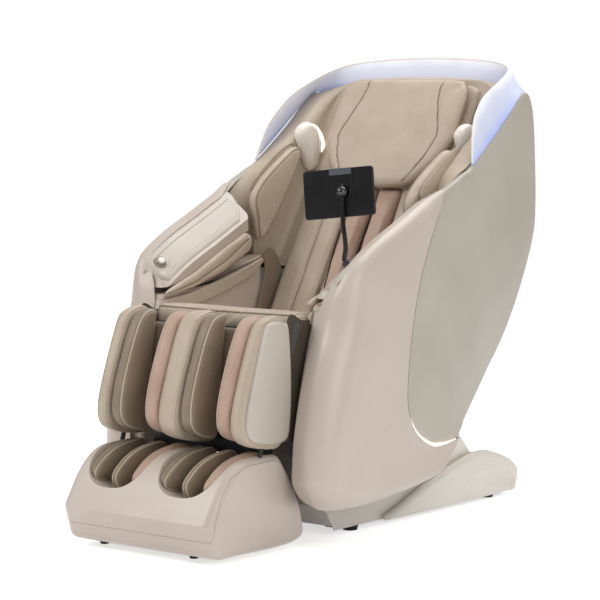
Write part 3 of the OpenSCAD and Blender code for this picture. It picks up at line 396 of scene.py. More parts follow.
def tube_mesh(points, radius, sides=8, closed=False):
    """Points and faces of a round tube along a 3-D line; radius may be one value for each point."""
    p = np.array(points, float)
    n = len(p)
    radius = np.broadcast_to(np.array(radius, float), (n,))
    if closed:
        along = np.roll(p, -1, axis=0) - np.roll(p, 1, axis=0)
    else:
        along = np.gradient(p, axis=0)
    along /= np.maximum(np.linalg.norm(along, axis=1, keepdims=True), 1e-9)
    side = np.cross(along[0], [0.31, 0.22, 0.93])
    side /= np.linalg.norm(side)
    rings = []
    for i in range(n):
        side = side - along[i] * (side @ along[i])
        side /= np.linalg.norm(side)
        other = np.cross(along[i], side)
        angles = np.arange(sides) * 2 * math.pi / sides
        circle = np.cos(angles)[:, None] * side + np.sin(angles)[:, None] * other
        rings.append(p[i] + radius[i] * circle)
    if closed:
        rings.append(rings[0])
        points, faces = loft(rings, closed_ends=False)
        keep = len(points) - sides
        return points[:keep], [tuple(k % keep for k in f) for f in faces]
    return loft(rings)


def joined(parts):
    """One list of points and faces from several."""
    points, faces, base = [], [], 0
    for p, f in parts:
        points.append(np.array(p, float))
        faces += [tuple(k + base for k in face) for face in f]
        base += len(p)
    return np.vstack(points), faces


def flipped(points, faces):
    """The same mesh mirrored to the other side of the chair."""
    return np.array(points, float) * (-1, 1, 1), [tuple(reversed(f)) for f in faces]


def mesh_data(piece):
    """Points in millimetres and faces of a finished piece."""
    count = len(piece.data.vertices)
    points = np.zeros(count * 3)
    piece.data.vertices.foreach_get("co", points)
    return points.reshape(-1, 3) / MM, [tuple(f.vertices) for f in piece.data.polygons]


def set_points(piece, points):
    """Moves the piece's points to new places in millimetres."""
    piece.data.vertices.foreach_set("co", (np.array(points) * MM).ravel())
    piece.data.update()


def normals_of(piece):
    """The normal at each point of the piece."""
    values = np.zeros(len(piece.data.vertices) * 3)
    piece.data.vertex_normals.foreach_get("vector", values)
    return values.reshape(-1, 3)


def cut(piece, *tools, operation="DIFFERENCE"):
    """Takes closed meshes, each given as points and faces, out of the piece, or keeps what they share."""
    made = []
    for points, faces in tools:
        tool = mesh_object("cutter", points, faces)
        outward(tool)
        modifier = piece.modifiers.new("cut", "BOOLEAN")
        modifier.operation = operation
        modifier.solver = "MANIFOLD"
        modifier.object = tool
        made.append(tool)
    bake_modifiers(piece)
    for tool in made:
        bpy.data.objects.remove(tool)


def dress(piece, material, body, slot, *nodes):
    """Gives a piece its material and its body, and hides the CAD nodes that it stands for. The slot is not
    used.
    """
    piece.data.materials.clear()
    piece.data.materials.append(material)
    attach(piece, body)
    if nodes:
        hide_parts(*nodes)
    return piece


def both(name, points, faces, sharp=35):
    """A piece on each side of the chair in one object."""
    piece = mesh_object(name, *joined([(points, faces), flipped(points, faces)]), sharp=sharp)
    outward(piece)
    shade(piece, sharp)
    return piece


# ---- Side shells: rolled ABS trays ----

HALF_WIDTH = 389
HIP = np.array((50.0, 360.0))
# Fall of the domed face for each square millimetre away from the hip
DOME_FALL = 0.000015
WALL = 3
ROLL_DEPTH = 72
LIP_DEPTH = 36
REAR_DROP = 4.5
SHELL_EDGE = [(-407, 165), (-412, 225), (-402, 310), (-367, 450), (-320, 565), (-296, 650), (-262, 712),
              (-178, 767), (-64, 819), (23, 860), (125, 905), (243, 955), (380, 1055), (490, 1145),
              (535, 1110), (547, 980), (546, 791), (503, 646), (411, 483), (282, 351), (184, 261),
              (115, 177), (35, 137), (-85, 108), (-206, 98), (-345, 108)]
REAR_EDGE = [(243, 955), (380, 1055), (490, 1145), (535, 1110), (547, 980), (546, 791), (503, 646),
             (411, 483), (282, 351), (192, 268), (160, 236), (95, 208), (30, 212), (-30, 240), (-76, 300),
             (-98, 390), (-112, 489), (-112, 605), (-90, 705), (-34, 794), (26, 852), (80, 880), (125, 901),
             (168, 920), (200, 935)]
SEAM = [(130, 950), (76, 845), (33, 769), (-14, 668), (-48, 550), (-66, 440), (-70, 366), (-58, 314),
        (-24, 266), (36, 231), (91, 227), (150, 236), (200, 244)]
# Soft crease across the rear shell, below which its face falls away
CREASE_AT = np.array((300.0, 556.0))
CREASE_RUN = np.array((0.727, 0.687))
seam_line = open_curve(SEAM, 12)
# The points of the seam's line along which the light and the dark bead of painted shade run
LIGHT_SPAN = slice(62, 133)
SHADE_BEAD_SPAN = slice(13, 136)
SHADE_BEAD_RADIUS = 1.2


def dome(p):
    """Half width of the outer face over points [Y, Z]."""
    return HALF_WIDTH - DOME_FALL * ((p - HIP) ** 2).sum(1)


def front_roll(p):
    """Share of the full roll that the front shell's edge has at points [Y, Z]."""
    high = p[:, 1] > 420
    upper = (1 - 0.55 * np.clip((p[:, 1] - 600) / 120, 0, 1)) * np.clip((160 - p[:, 0]) / 120, 0.15, 1)
    return np.where(high, upper, np.clip(1 - (p[:, 0] + 85) / 180, 0.004, 1))


def front_inset(p):
    """How far in the front shell's roll starts."""
    high = p[:, 1] > 420
    upper = (70 - 28 * np.clip((p[:, 1] - 600) / 120, 0, 1)) * np.clip((160 - p[:, 0]) / 120, 0.33, 1)
    lower = np.maximum(3, 60 * np.clip(1 - (p[:, 0] + 85) / 180, 0, 1)
                       + 10 * np.clip((p[:, 1] - 300) / 100, 0, 1))
    return np.where(high, upper, lower)


def rear_rolled(p):
    """Where the rear shell's own edge is rolled: behind and above the seam."""
    return (p[:, 0] > 200) | (p[:, 1] > 830)


def beside_seam(size, p):
    """A size that holds beside the top of the seam and runs out below and behind it."""
    return size * np.clip((p[:, 1] - 690) / 60, 0, 1) * np.clip((200 - p[:, 0]) / 80, 0, 1)


def rear_roll(p):
    """Depth of the rear shell's rolled edge: it carries on the front shell's roll beside the seam."""
    return np.maximum(np.where(rear_rolled(p), 8, 0.3), beside_seam(ROLL_DEPTH * front_roll(p), p))


def rear_inset(p):
    """How far in the rear shell's roll starts."""
    return np.maximum(np.where(rear_rolled(p), 12, 3), beside_seam(front_inset(p), p))


def crease_fall(p):
    """How far the rear shell's face falls off below its crease."""
    across = (p - CREASE_AT) @ np.array((CREASE_RUN[1], -CREASE_RUN[0]))
    along = (p - CREASE_AT) @ CREASE_RUN
    start = np.clip((along + 330) / 260, 0, 1)
    return 0.15 * start * np.maximum(across + 4 * np.exp(-np.abs(across) / 8) - 4, 0)


def tray(edge, drop, depth_of, inset_of, lip_of, fall=None, k=8):
    """Hollow moulding with a rolled edge and a lip turned in."""
    out = ccw(closed_curve(edge, k))
    into = inward(out)
    middle = out.mean(0)
    depth, reach, lip = depth_of(out), inset_of(out), lip_of(out)

    def ring(angle, wall, scale=1.0):
        p = middle + (stepped_in(out, wall + reach * (1 - math.cos(angle))) - middle) * scale
        x = dome(p) - drop - wall - depth * (1 - math.sin(angle))
        if fall is not None:
            x = x - fall(p)
        return np.column_stack([x, p])

    def lip_ring(wall):
        p = out + into * (wall + lip * 0.3)[:, None]
        x = dome(p) - drop - depth - lip - WALL - 0.4
        if fall is not None:
            x = x - fall(p)
        return np.column_stack([x, p])

    quarter = math.pi / 2
    rings = [ring(quarter, 0, s) for s in (0.04, 0.12, 0.22, 0.33, 0.44, 0.55, 0.66, 0.76, 0.85, 0.92, 0.97)]
    rings += [ring(quarter * (1 - j / 9), 0) for j in range(10)]
    rings += [lip_ring(0), lip_ring(WALL)]
    rings += [ring(quarter * j / 4, WALL) for j in range(5)]
    rings += [ring(quarter, WALL, s) for s in (0.9, 0.7, 0.45, 0.15)]
    return loft(rings)


def seam_cutter():
    """Everything rear of the parting line."""
    outline = [(300, 1400)] + seam_line.tolist() + [(300, 60), (800, 60), (800, 1400)]
    return prism(ccw(outline), 0, 500, side_plane)


def side_pair(name, points, faces, material, body, slot, node, tools=(), sharp=35):
    """The left piece and its mirror image, each standing for its own CAD node."""
    left = mesh_object(name + "_left", points, faces, sharp)
    outward(left)
    if tools:
        cut(left, *tools)
    shade(left, sharp)
    right = mesh_object(name + "_right", *flipped(*mesh_data(left)), sharp=sharp)
    for piece, side in ((left, "left"), (right, "right")):
        dress(piece, material, body, slot, f"{node}_{side}")


side_pair("front_tray", *tray(SHELL_EDGE, 0, lambda p: ROLL_DEPTH * front_roll(p), front_inset,
                              lambda p: LIP_DEPTH * np.clip(front_roll(p) * 1.4 - 0.1, 0, 1)),
          SHELL_FRONT, "pod", "shell_front", "side_shell", [seam_cutter()])
side_pair("rear_tray", *tray(REAR_EDGE, REAR_DROP, rear_roll, rear_inset,
                             lambda p: np.where(rear_rolled(p), 14, 0), crease_fall),
          SHELL_REAR, "back", "shell_rear", "rear_shell")


def light_crescent():
    """Opal strip along the foot of the seam, widest at its lowest point."""
    line = seam_line[LIGHT_SPAN]
    n = len(line)
    along = np.gradient(line, axis=0)
    along /= np.linalg.norm(along, axis=1, keepdims=True)
    into = np.column_stack([-along[:, 1], along[:, 0]])
    width = 0.5 + 7.5 * np.sin(np.pi * (np.arange(n) / (n - 1)) ** 1.9) ** 2
    outer = line + into * 0.7
    inner = line + into * (0.7 + width)[:, None]
    middle = (outer + inner) / 2
    rings = [np.array([(x, *q) for x, q in zip(
        (dome(o[None])[0] - 0.5, dome(m[None])[0] - 0.2, dome(i[None])[0] - 0.5, dome(i[None])[0] - WALL,
         dome(o[None])[0] - WALL), (o, m, i, i, o))]) for o, m, i in zip(outer, middle, inner)]
    return loft(rings)


dress(both("seam_light", *light_crescent()), WARM_LIGHT, "pod", "led_diffuser", "led_strips")


def seam_shade_bead():
    """Dark rubber bead in the joint between the front and rear shells, standing in as painted shade of the
    gap between them.
    """
    line = seam_line[SHADE_BEAD_SPAN]
    return tube_mesh(np.column_stack([dome(line) - SHADE_BEAD_RADIUS, line + (1.1, 0)]), SHADE_BEAD_RADIUS, 8)


dress(both("seam_shade_bead", *seam_shade_bead()), BLACK_RUBBER, "pod", "black_plastic")

# ---- Arms ----

ARM_IN = 250
ARM_OUT = 330
ARM_SIDE = [(-378, 190), (-381, 240), (-373, 310), (-342, 440), (-306, 560), (-280, 640), (-256, 688),
            (-178, 740), (-64, 792), (23, 833), (62, 850), (70, 800), (76, 745), (112, 700), (124, 640),
            (112, 420), (60, 300), (-60, 220), (-220, 142), (-330, 134)]
SLOT_SIDE = [(-420, 585), (-300, 600), (-100, 622), (60, 664), (160, 700), (170, 790), (110, 790),
             (20, 752), (-178, 654), (-290, 630), (-420, 628)]
SLOT_OUT = ARM_OUT - 16
CREST = [(-290, 684), (-279, 699), (-260, 717), (-178, 765), (-64, 817), (23, 858), (68, 879)]
CREST_X = HALF_WIDTH - 55
PANEL_WIDTH = 98
PANEL_THICK = 8
PANEL_ROLL = math.radians(38)
ROOM = 0.4


def rounded_slab(outline, low, high, depth, reach, place, steps=5):
    """Plate with a quarter round on both edges."""
    out = ccw(outline)

    def ring(w, angle):
        p = stepped_in(out, reach * (1 - math.cos(angle)))
        return place(np.column_stack([p, np.full(len(p), w)]))

    angles = [math.pi / 2 * j / steps for j in range(steps + 1)]
    rings = [ring(high - depth * (1 - math.sin(a)), a) for a in angles[::-1]]
    rings += [ring(low + depth * (1 - math.sin(a)), a) for a in angles]
    return loft(rings)


def on_crest(point, run, rise, swing=0.15):
    """A point of the arm top: run down the slope from the crest, rise off it."""
    h = -run * math.sin(PANEL_ROLL) + rise * math.cos(PANEL_ROLL)
    return (CREST_X - run * math.cos(PANEL_ROLL) - rise * math.sin(PANEL_ROLL), point[0] - h * swing,
            point[1] - 6 + h)


def panel_width(share):
    """Width of the panel along the crest: pointed in front, rounded behind."""
    return PANEL_WIDTH * min(max(0.16, min(1, share * 3)), 0.35 + 0.65 * math.sqrt(min(1, (1 - share) * 7)))


crest_line = open_curve(CREST, 8)
crest_shares = np.arange(len(crest_line)) / (len(crest_line) - 1)


def arm_panel_mesh():
    """Panel with a sunk field inside a raised border, and an edge that turns down."""
    rings = []
    for share, point in zip(crest_shares, crest_line):
        w = panel_width(share)
        # The sunk field runs from three tenths of the panel's length to just short of its end
        field = min(1, max(0, (share - 0.3) / 0.03)) * min(1, max(0, (0.93 - share) / 0.03))
        sink = 1.6 * field
        # Its edges and its turned-down side shrink towards the pointed front
        k = min(1, w / PANEL_WIDTH * 1.4)
        top = [(0, -1.5), (1.5 * k, -0.3), (3 * k, 0), (w * 0.2, 0.9), (w * 0.2 + 2.5 * k, 0.9 - sink),
               (w * 0.4, 1.5 - sink), (w * 0.6, 1.3 - sink), (w - 24 * k, 0.6 - sink), (w - 21.5 * k, 0.6),
               (w - 16 * k, 0), (w - 10 * k, -0.8), (w - 6 * k, -2), (w - 2.5 * k, -4.6 * k),
               (w - 0.6 * k, -8 * k), (w, -11 * k), (w, -14 * k)]
        under = [(w - PANEL_THICK * 0.8 * k, -14 * k), (w - 18 * k, -PANEL_THICK * k),
                 (w * 0.4, 1.5 - PANEL_THICK * k), (0, -PANEL_THICK * k)]
        # The point lies clear of the shell's roll
        clear = 9 * max(0, 1 - share * 5)
        rings.append([on_crest(point, clear + run * (w - clear) / w, rise) for run, rise in top + under])
    return loft(rings)


def panel_room_mesh():
    """The room that the arm body leaves for the panel."""
    t = PANEL_THICK + ROOM
    rings = []
    for y in np.linspace(crest_line[0, 0] - 1, crest_line[-1, 0] + 6, 60):
        w = panel_width(np.interp(y, crest_line[:, 0], crest_shares))
        point = (y, np.interp(y, crest_line[:, 0], crest_line[:, 1]))
        section = [(-14, -t), (w * 0.4, 1.5 - t), (w - 18, -t), (w - t, -14 - ROOM), (w + ROOM, -14 - ROOM),
                   (w + ROOM, -2), (PANEL_WIDTH + 40, -2), (PANEL_WIDTH + 40, 70), (-14, 70)]
        rings.append([on_crest(point, run, rise, 0) for run, rise in section])
    return loft(rings)


side_pair("arm_housing", *rounded_slab(closed_curve(ARM_SIDE, 8), ARM_IN, ARM_OUT, 20, 16, side_plane),
          SHELL_FRONT, "pod", "shell_front", "arm_body",
          [prism(ccw(SLOT_SIDE), ARM_IN - 10, SLOT_OUT, side_plane), panel_room_mesh()], 30)
for side in ("left", "right"):
    points, faces = arm_panel_mesh()
    if side == "right":
        points, faces = flipped(points, faces)
    panel = mesh_object(f"arm_top_{side}", points, faces, 28)
    outward(panel)
    shade(panel, 28)
    dress(panel, PANEL_PLASTIC, "pod", "panel_plastic", f"arm_panel_{side}")

# ---- Base side covers: a raised hump round a sunk arch ----

HUMP = [(60, 12), (64, 25), (122, 42), (196, 70), (313, 109), (435, 138), (516, 146), (579, 133), (650, 106),
        (688, 78), (691, 56), (685, 30), (680, 12)]
ARCH = [(346, 7), (366, 42), (438, 71), (518, 91), (581, 87), (655, 60), (664, 7)]
BASE_HALF = 235
COVER_DEPTH = 29
# Steps of the arch's sloping wall: off the cover's face, and how far it is let out there
ARCH_STEPS = [(-9, -8), (-7, -4), (-2, -0.5), (0.5, 2), (6, 5)]


def arch_cutter():
    """Sunk arch with a sloping wall."""
    line = open_curve(ARCH, 8)
    rings = []
    for rise_off, let_out in ARCH_STEPS:
        closed = ccw(np.vstack([line, [(664, -15), (346, -15)]]))
        p = closed - inward(closed) * let_out
        rings.append(side_plane(np.column_stack([p, np.full(len(p), BASE_HALF + rise_off)])))
    return loft(rings)


hump_outline = even(np.vstack([open_curve(HUMP, 8), [(500, 12), (280, 12)]]), 8, closed=True)
side_pair("base_skirt", *rounded_slab(hump_outline, BASE_HALF - COVER_DEPTH, BASE_HALF, 11, 15, side_plane),
          BASE_PLASTIC, "base", "base_plastic", "base_cover", [arch_cutter()], 30)

# ---- Padding: foam blocks under leather ----

SIDE = (side_plane, lambda p: np.array(p)[:, [1, 2, 0]])


def off_back(p):
    """A point of the part as [X, up the backrest, proud of its face]."""
    x, y, z = np.array(p, float).T
    back, rise = y - BACK_AT[0], z - BACK_AT[1]
    return np.stack([x, back * math.sin(LEAN) + rise * math.cos(LEAN),
                     rise * math.sin(LEAN) - back * math.cos(LEAN)], axis=1)


BACK = (back_plane, off_back)
PAD_MESH = 5
CLOTH_FRAMES = 20
HELD_WITHIN = 6
pads = []


def pad(name, outline, low, high, plane, depth=12, reach=10, limit=5, crown=0, seams=(), tools=(), keep=()):
    """Foam block between two thicknesses, evenly remeshed, no point to move further than the limit."""
    place, lift = plane
    slack = limit * 0.4
    block = mesh_object(name, *rounded_slab(even(inset(outline, slack), 6, True), low + slack, high - slack,
                                            depth, reach, place))
    outward(block)
    if tools:
        cut(block, *tools)
    if keep:
        cut(block, *keep, operation="INTERSECT")
    remesh = block.modifiers.new("even", "REMESH")
    remesh.mode = "VOXEL"
    remesh.voxel_size = PAD_MESH * MM
    relax = block.modifiers.new("relax", "SMOOTH")
    relax.iterations = 6
    bake_modifiers(block)
    if crown:
        points, normals = mesh_data(block)[0], normals_of(block)
        face = place([(0, 0, 1)])[0] - place([(0, 0, 0)])[0]
        edge = edge_distance(lift(points)[:, :2], outline)
        middle = np.clip(edge / edge.max(), 0, 1)
        up = np.clip(normals @ face, 0, 1)
        set_points(block, points + face * (crown * up * np.sqrt(middle))[:, None])
    pads.append({"piece": block, "limit": limit, "seams": list(seams)})
    return pads[-1]


def seam(line, kind="piping", depth=1.6, width=4.0, radius=2.2, closed=True):
    """A seam of a pad along 3-D points: pressed in, and piped over if it is piping."""
    return {"line": np.array(line, float), "kind": kind, "depth": depth, "width": width, "radius": radius,
            "closed": closed}


def rim(outline, w, plane, by=3, step=5):
    """Closed 3-D line just inside an outline at one thickness."""
    line = even(inset(outline, by), step, True)
    return plane[0](np.column_stack([line, np.full(len(line), w)]))


def across(points, w, plane, step=5):
    """Open 3-D line from 2-D points at one thickness, or at one thickness for each point."""
    flat = np.column_stack([np.array(points, float), np.broadcast_to(w, len(points))])
    return even(plane[0](flat), step)


def nearest(line, points):
    """Distance from each point to the line's own points."""
    tree = KDTree(len(line))
    for i, at in enumerate(line):
        tree.insert(at, i)
    tree.balance()
    return np.array([tree.find(p)[2] for p in points])


def blow_up():
    """Puts every pad under pressure at once, held along its seams."""
    for item in pads:
        piece = item["piece"]
        points = mesh_data(piece)[0]
        cloth = piece.modifiers.new("pressure", "CLOTH")
        rule = cloth.settings
        rule.quality = 3
        rule.mass = 0.3
        rule.use_pressure = True
        rule.uniform_pressure_force = 4
        rule.effector_weights.gravity = 0
        held = [s for s in item["seams"] if s["kind"] != "crease"]
        if held:
            away = nearest(np.vstack([s["line"] for s in held]), points)
            group = piece.vertex_groups.new(name="seams")
            group.add([int(i) for i in np.flatnonzero(away < HELD_WITHIN)], 1.0, "REPLACE")
            rule.vertex_group_mass = "seams"
        cloth.point_cache.frame_start = 1
        cloth.point_cache.frame_end = CLOTH_FRAMES
    for moment in range(1, CLOTH_FRAMES + 1):
        scene.frame_set(moment)
    graph = bpy.context.evaluated_depsgraph_get()
    for item in pads:
        piece = item["piece"]
        rest = mesh_data(piece)[0]
        blown = np.zeros(len(rest) * 3)
        piece.evaluated_get(graph).data.vertices.foreach_get("co", blown)
        move = blown.reshape(-1, 3) / MM - rest
        far = np.linalg.norm(move, axis=1, keepdims=True)
        item["blown"] = rest + move * np.minimum(1, item["limit"] / np.maximum(far, 1e-6))
    for item in pads:
        item["piece"].modifiers.clear()
        item["piece"].vertex_groups.clear()
        set_points(item["piece"], item["blown"])
    scene.frame_set(1)


def sew(item):
    """Subdivides a blown pad, presses its seams in, and returns the tubes of its piping and its thread."""
    piece = item["piece"]
    finer = piece.modifiers.new("finer", "SUBSURF")
    finer.levels = 1
    bake_modifiers(piece)
    points, faces = mesh_data(piece)
    normals = normals_of(piece)
    tree = BVHTree.FromPolygons(points.tolist(), faces)
    snapped = []
    for one in item["seams"]:
        line = np.array([tree.find_nearest(Vector(p))[0] for p in one["line"]])
        snapped.append(line)
        low, high = line.min(0) - 3 * one["width"], line.max(0) + 3 * one["width"]
        near = np.flatnonzero(((points > low) & (points < high)).all(1))
        if one["depth"] and len(near):
            dense = even(np.vstack([line, line[:1]]) if one["closed"] else line, 2)
            away = nearest(dense, points[near])
            points[near] -= normals[near] * (one["depth"] * np.exp(-(away / one["width"]) ** 2))[:, None]
    set_points(piece, points)
    tubes, threads = [], []
    tree = BVHTree.FromPolygons(points.tolist(), faces)
    for one, line in zip(item["seams"], snapped):
        if one["kind"] == "seam":
            line = np.array([tree.find_nearest(Vector(p))[0] for p in line])
            threads.append(tube_mesh(line, 1.0, 6, one["closed"]))
        if one["kind"] == "piping":
            hits = [tree.find_nearest(Vector(p)) for p in line]
            line = np.array([at + out * one["radius"] * 0.35 for at, out, *_ in hits])
            if one["closed"]:
                line = (np.roll(line, 1, 0) + 2 * line + np.roll(line, -1, 0)) / 4
            tubes.append(tube_mesh(line, one["radius"], 8, one["closed"]))
    return tubes, threads


def upholster(name, items, material, body, slot, node, sides="one", piping=PIPING_LEATHER):
    """Joins finished pads into the piece of one CAD node, or of the pair of nodes left and right."""
    sewn = [sew(item) for item in items]
    tubes, threads = [[tube for one in sewn for tube in one[k]] for k in (0, 1)]
    skin = joined([mesh_data(item["piece"]) for item in items])
    for item in items:
        bpy.data.objects.remove(item["piece"])
    parts = [(name, skin, material, True)]
    if tubes:
        parts.append((name + "_piping", joined(tubes), piping, False))
    if threads:
        parts.append((name + "_thread", joined(threads), SEAM_THREAD, False))
    for label, data, finish, padded in parts:
        copies = {"one": [("", data, node)],
                  "both": [("", joined([data, flipped(*data)]), node)],
                  "pair": [("_left", data, node + "_left"),
                           ("_right", flipped(*data), node + "_right")]}[sides]
        for end, mesh, stands_for in copies:
            piece = mesh_object(label + end, *mesh, sharp=70)
            outward(piece)
            shade(piece, 70)
            dress(piece, finish, body, slot, *([stands_for] if padded else []))


# ---- Backrest pads ----

CUSHION = [(-234, -292), (234, -292), (240, -60), (240, 300), (230, 480), (200, 498), (-200, 498),
           (-230, 480), (-240, 300), (-240, -60)]
ROLL_WIDTH = 84
PILLOW_SHAPE = [(-0.36, 0.5), (0.36, 0.5), (0.46, 0.45), (0.5, 0.34), (0.5, -0.02), (0.45, -0.22),
                (0.36, -0.38), (0.24, -0.48), (0, -0.5), (-0.24, -0.48), (-0.36, -0.38), (-0.45, -0.22),
                (-0.5, -0.02), (-0.5, 0.34), (-0.46, 0.45)]
PILLOW_UP = 318
PILLOW_WIDTH, PILLOW_HEIGHT, PILLOW_THICK = 436, 346, 40
pillow_outline = closed_curve([(x * PILLOW_WIDTH, PILLOW_UP + y * PILLOW_HEIGHT) for x, y in PILLOW_SHAPE], 6)
PILLOW_SEAM = [(-128, 488), (-127, 450), (-132, 420), (-150, 365), (-166, 318), (-168, 296), (-150, 236),
               (-112, 166), (-106, 150)]

channel_room = prism([(-ROLL_WIDTH - 0.4, -400), (ROLL_WIDTH + 0.4, -400), (ROLL_WIDTH + 0.4, 160),
                      (-ROLL_WIDTH - 0.4, 160)], -60, 30, back_plane)
cushion = pad("back_pad", CUSHION, -34, 0, BACK, 10, 10, 5, tools=[channel_room],
              seams=[seam(across([(side * 150, -280), (side * 156, 160)], 0, BACK), "seam", 3, 4,
                          closed=False) for side in (-1, 1)])
rolls = [pad("roll", [(side * 0.4, -286), (side * ROLL_WIDTH, -286), (side * ROLL_WIDTH, 159),
                      (side * 0.4, 159)], -32, 4, BACK, 14, 14, 7) for side in (-1, 1)]
pillow = pad("pillow_pad", pillow_outline, 0.4, PILLOW_THICK, BACK, 16, 16, 8, crown=6,
             seams=[seam(rim(pillow_outline, PILLOW_THICK / 2, BACK, 0), radius=2.6),
                    *[seam(across([(side * x, up) for x, up in PILLOW_SEAM], PILLOW_THICK + 4, BACK),
                           "seam", 3.5, 2.6, closed=False) for side in (-1, 1)]])

# ---- Seat and arms ----

CUSHION_FRONT = open_curve([(-336, 528), (-344, 550), (-345, 583), (-322, 600), (-250, 592), (-120, 562),
                            (0, 528), (70, 500), (104, 480)], 6).tolist()
SEAT_SIDE = CUSHION_FRONT + [(78, 444.2), (0, 458.9), (-150, 487.1), (-310, 517.2)]
UPPER_PAD = [(-302, 617), (-290, 607), (-184, 622), (-60, 656), (52, 708), (66, 730), (60, 756), (34, 766),
             (-40, 736), (-180, 668), (-285, 629)]
LOWER_LEAF = [(-292, 601.5), (-100, 622.6), (60, 664.6), (118, 686), (118, 698), (60, 679), (-100, 636),
              (-288, 613)]
LOWER_FLAP = [(-296, 562), (-302, 588), (-284, 599), (-200, 612), (-60, 640), (60, 672), (116, 692),
              (122, 680), (60, 640), (-60, 602), (-200, 570)]

SEAT_HALF, SEAT_SEAM = 241, 228
seat_lip = np.array([(x, -339 + 5 * (x / SEAT_SEAM) ** 2, 592 - 3 * (x / SEAT_SEAM) ** 2)
                     for x in np.linspace(-SEAT_SEAM, SEAT_SEAM, 90)])
pleats = [seam(np.array([(t * run, -346 + 14 * t, 560 + 34 * t) for t in np.linspace(0, 1, 12)]),
               "crease", 2.5, 5, closed=False) for run in (-60, -34, -12, 14, 38, 64)]
seat = pad("seat_pad", SEAT_SIDE, -SEAT_HALF, SEAT_HALF, SIDE, 22, 16, 8,
           seams=[seam(seat_lip, radius=2.4, closed=False)]
           + [seam(rim(SEAT_SIDE, side * SEAT_SEAM, SIDE, 1), "seam", 2, 4) for side in (-1, 1)] + pleats)
UPPER_IN, UPPER_OUT = 229.6, 249.6
upper = pad("upper_pad", UPPER_PAD, UPPER_IN, UPPER_OUT, SIDE, 8, 8, 3,
            seams=[seam(across([(-292, 616), (-180, 642), (-60, 690), (40, 745)], UPPER_IN, SIDE),
                        "seam", 2, 3, closed=False)])


def thin_pad(outline, low, high, reach):
    """Thin flap of padding, modelled directly because a remesh would wear it away."""
    curve = even(outline, 6, True)
    return rounded_slab(curve, low, high, min(reach, (high - low) / 2 - 0.2), reach, side_plane)


flap = both("lower_flap", *joined([thin_pad(LOWER_FLAP, 241.4, 249.6, 4),
                                   thin_pad(LOWER_LEAF, 250.4, 300, 4)]), sharp=60)
dress(flap, BEIGE_LEATHER, "pod", "leather_beige", "lower_arm_pads")

# ---- Linings, shoulder pads and speakers ----

LINING_IN = 296
lining_top = open_curve([(146, 700), (152, 780), (196, 905), (262, 966), (385, 1062), (462, 1122)], 6)
lining_rear = back_plane([(0, up, -60) for up in (316, 130, -70)])[:, 1:]
LINING = lining_top.tolist() + lining_rear.tolist()
OUTER_PAD = closed_curve([(180, 745), (132, 830), (114, 886), (160, 930), (240, 985), (300, 1008), (312, 985),
                          (270, 900), (215, 790)], 6)
INNER_PAD = closed_curve([(118, 735), (100, 800), (92, 858), (134, 910), (220, 968), (278, 996), (302, 975),
                          (260, 900), (180, 790)], 6)
SPEAKER = closed_curve([(306, 1034), (330, 1058), (362, 1062), (392, 1042), (402, 1000), (396, 940),
                        (360, 925), (336, 960), (318, 1000)], 6)

lining = pad("lining_pad", LINING, LINING_IN, 330, SIDE, 10, 8, 4)
outer = pad("outer_pad", OUTER_PAD, LINING_IN - 11.4, LINING_IN - 0.4, SIDE, 5, 6, 2,
            seams=[seam(rim(OUTER_PAD, LINING_IN - 10, SIDE, 5), radius=2.2)])
inner = pad("inner_pad", INNER_PAD, 246, LINING_IN - 11.8, SIDE, 12, 12, 5,
            seams=[seam(rim(INNER_PAD, 252, SIDE, 7), radius=2.4)])

# ---- Calf and foot rest ----

CALF_SIDE = closed_curve([(-402, 598), (-450, 594), (-488, 566), (-540, 440), (-566, 350), (-556, 300),
                          (-514, 276), (-440, 262), (-402, 268), (-389, 300), (-381, 420), (-375.5, 520),
                          (-378, 572)], 5)
COVER_SIDE = closed_curve([(-384, 562), (-404, 580), (-446, 583), (-476, 560), (-520, 440), (-545, 350),
                           (-536, 306), (-505, 288), (-440, 279), (-392, 286), (-378, 330), (-374, 440)], 8)
PAD_SIDE = closed_curve([(-412, 592), (-462, 588), (-500, 540), (-548, 420), (-562, 340), (-540, 300),
                         (-490, 282), (-450, 292), (-440, 420), (-422, 555)], 5)
WALL_IN, WALL_OUT, LEG_OUT = 203, 245, 254
HALF_CENTRE = 33
CALF_PAD = 52
SHELF_HALF = 84
WELL_X = 118
SHELF = [(-375, 556), (-380.2, 430), (-388.3, 300), (-424, 296), (-436, 430), (-412, 560)]


def calf_block(name, low, high):
    """Wall of the calf rest, piped along both of its edges."""
    return pad(name, CALF_SIDE, low, high, SIDE, 12, 12, 5,
               seams=[seam(rim(CALF_SIDE, w, SIDE, 3), radius=2.0) for w in (low + 6, high - 6)])


def calf_pad(name, low, face):
    """Pad on a wall of the calf rest; face is +1 if it looks towards +X."""
    high = low + CALF_PAD
    return pad(name, PAD_SIDE, low, high, SIDE, 16, 14, 6,
               seams=[seam(rim(PAD_SIDE, high - 9 if face > 0 else low + 9, SIDE, 3), radius=2.4)])


wall_side = calf_block("calf_side_pad", WALL_IN, WALL_OUT)
wall_middle = calf_block("calf_middle_pad", -HALF_CENTRE, HALF_CENTRE)
taupe_pads = [calf_pad("taupe_pad", x + 0.4, 1) for x in (-WALL_IN, HALF_CENTRE)]
rose_pads = [calf_pad("rose_pad", x - 0.4 - CALF_PAD, -1) for x in (-HALF_CENTRE, WALL_IN)]
shelf_pads = [pad("shelf_pad", SHELF, s * WELL_X - SHELF_HALF, s * WELL_X + SHELF_HALF, SIDE, 6, 6, 3)
              for s in (-1, 1)]

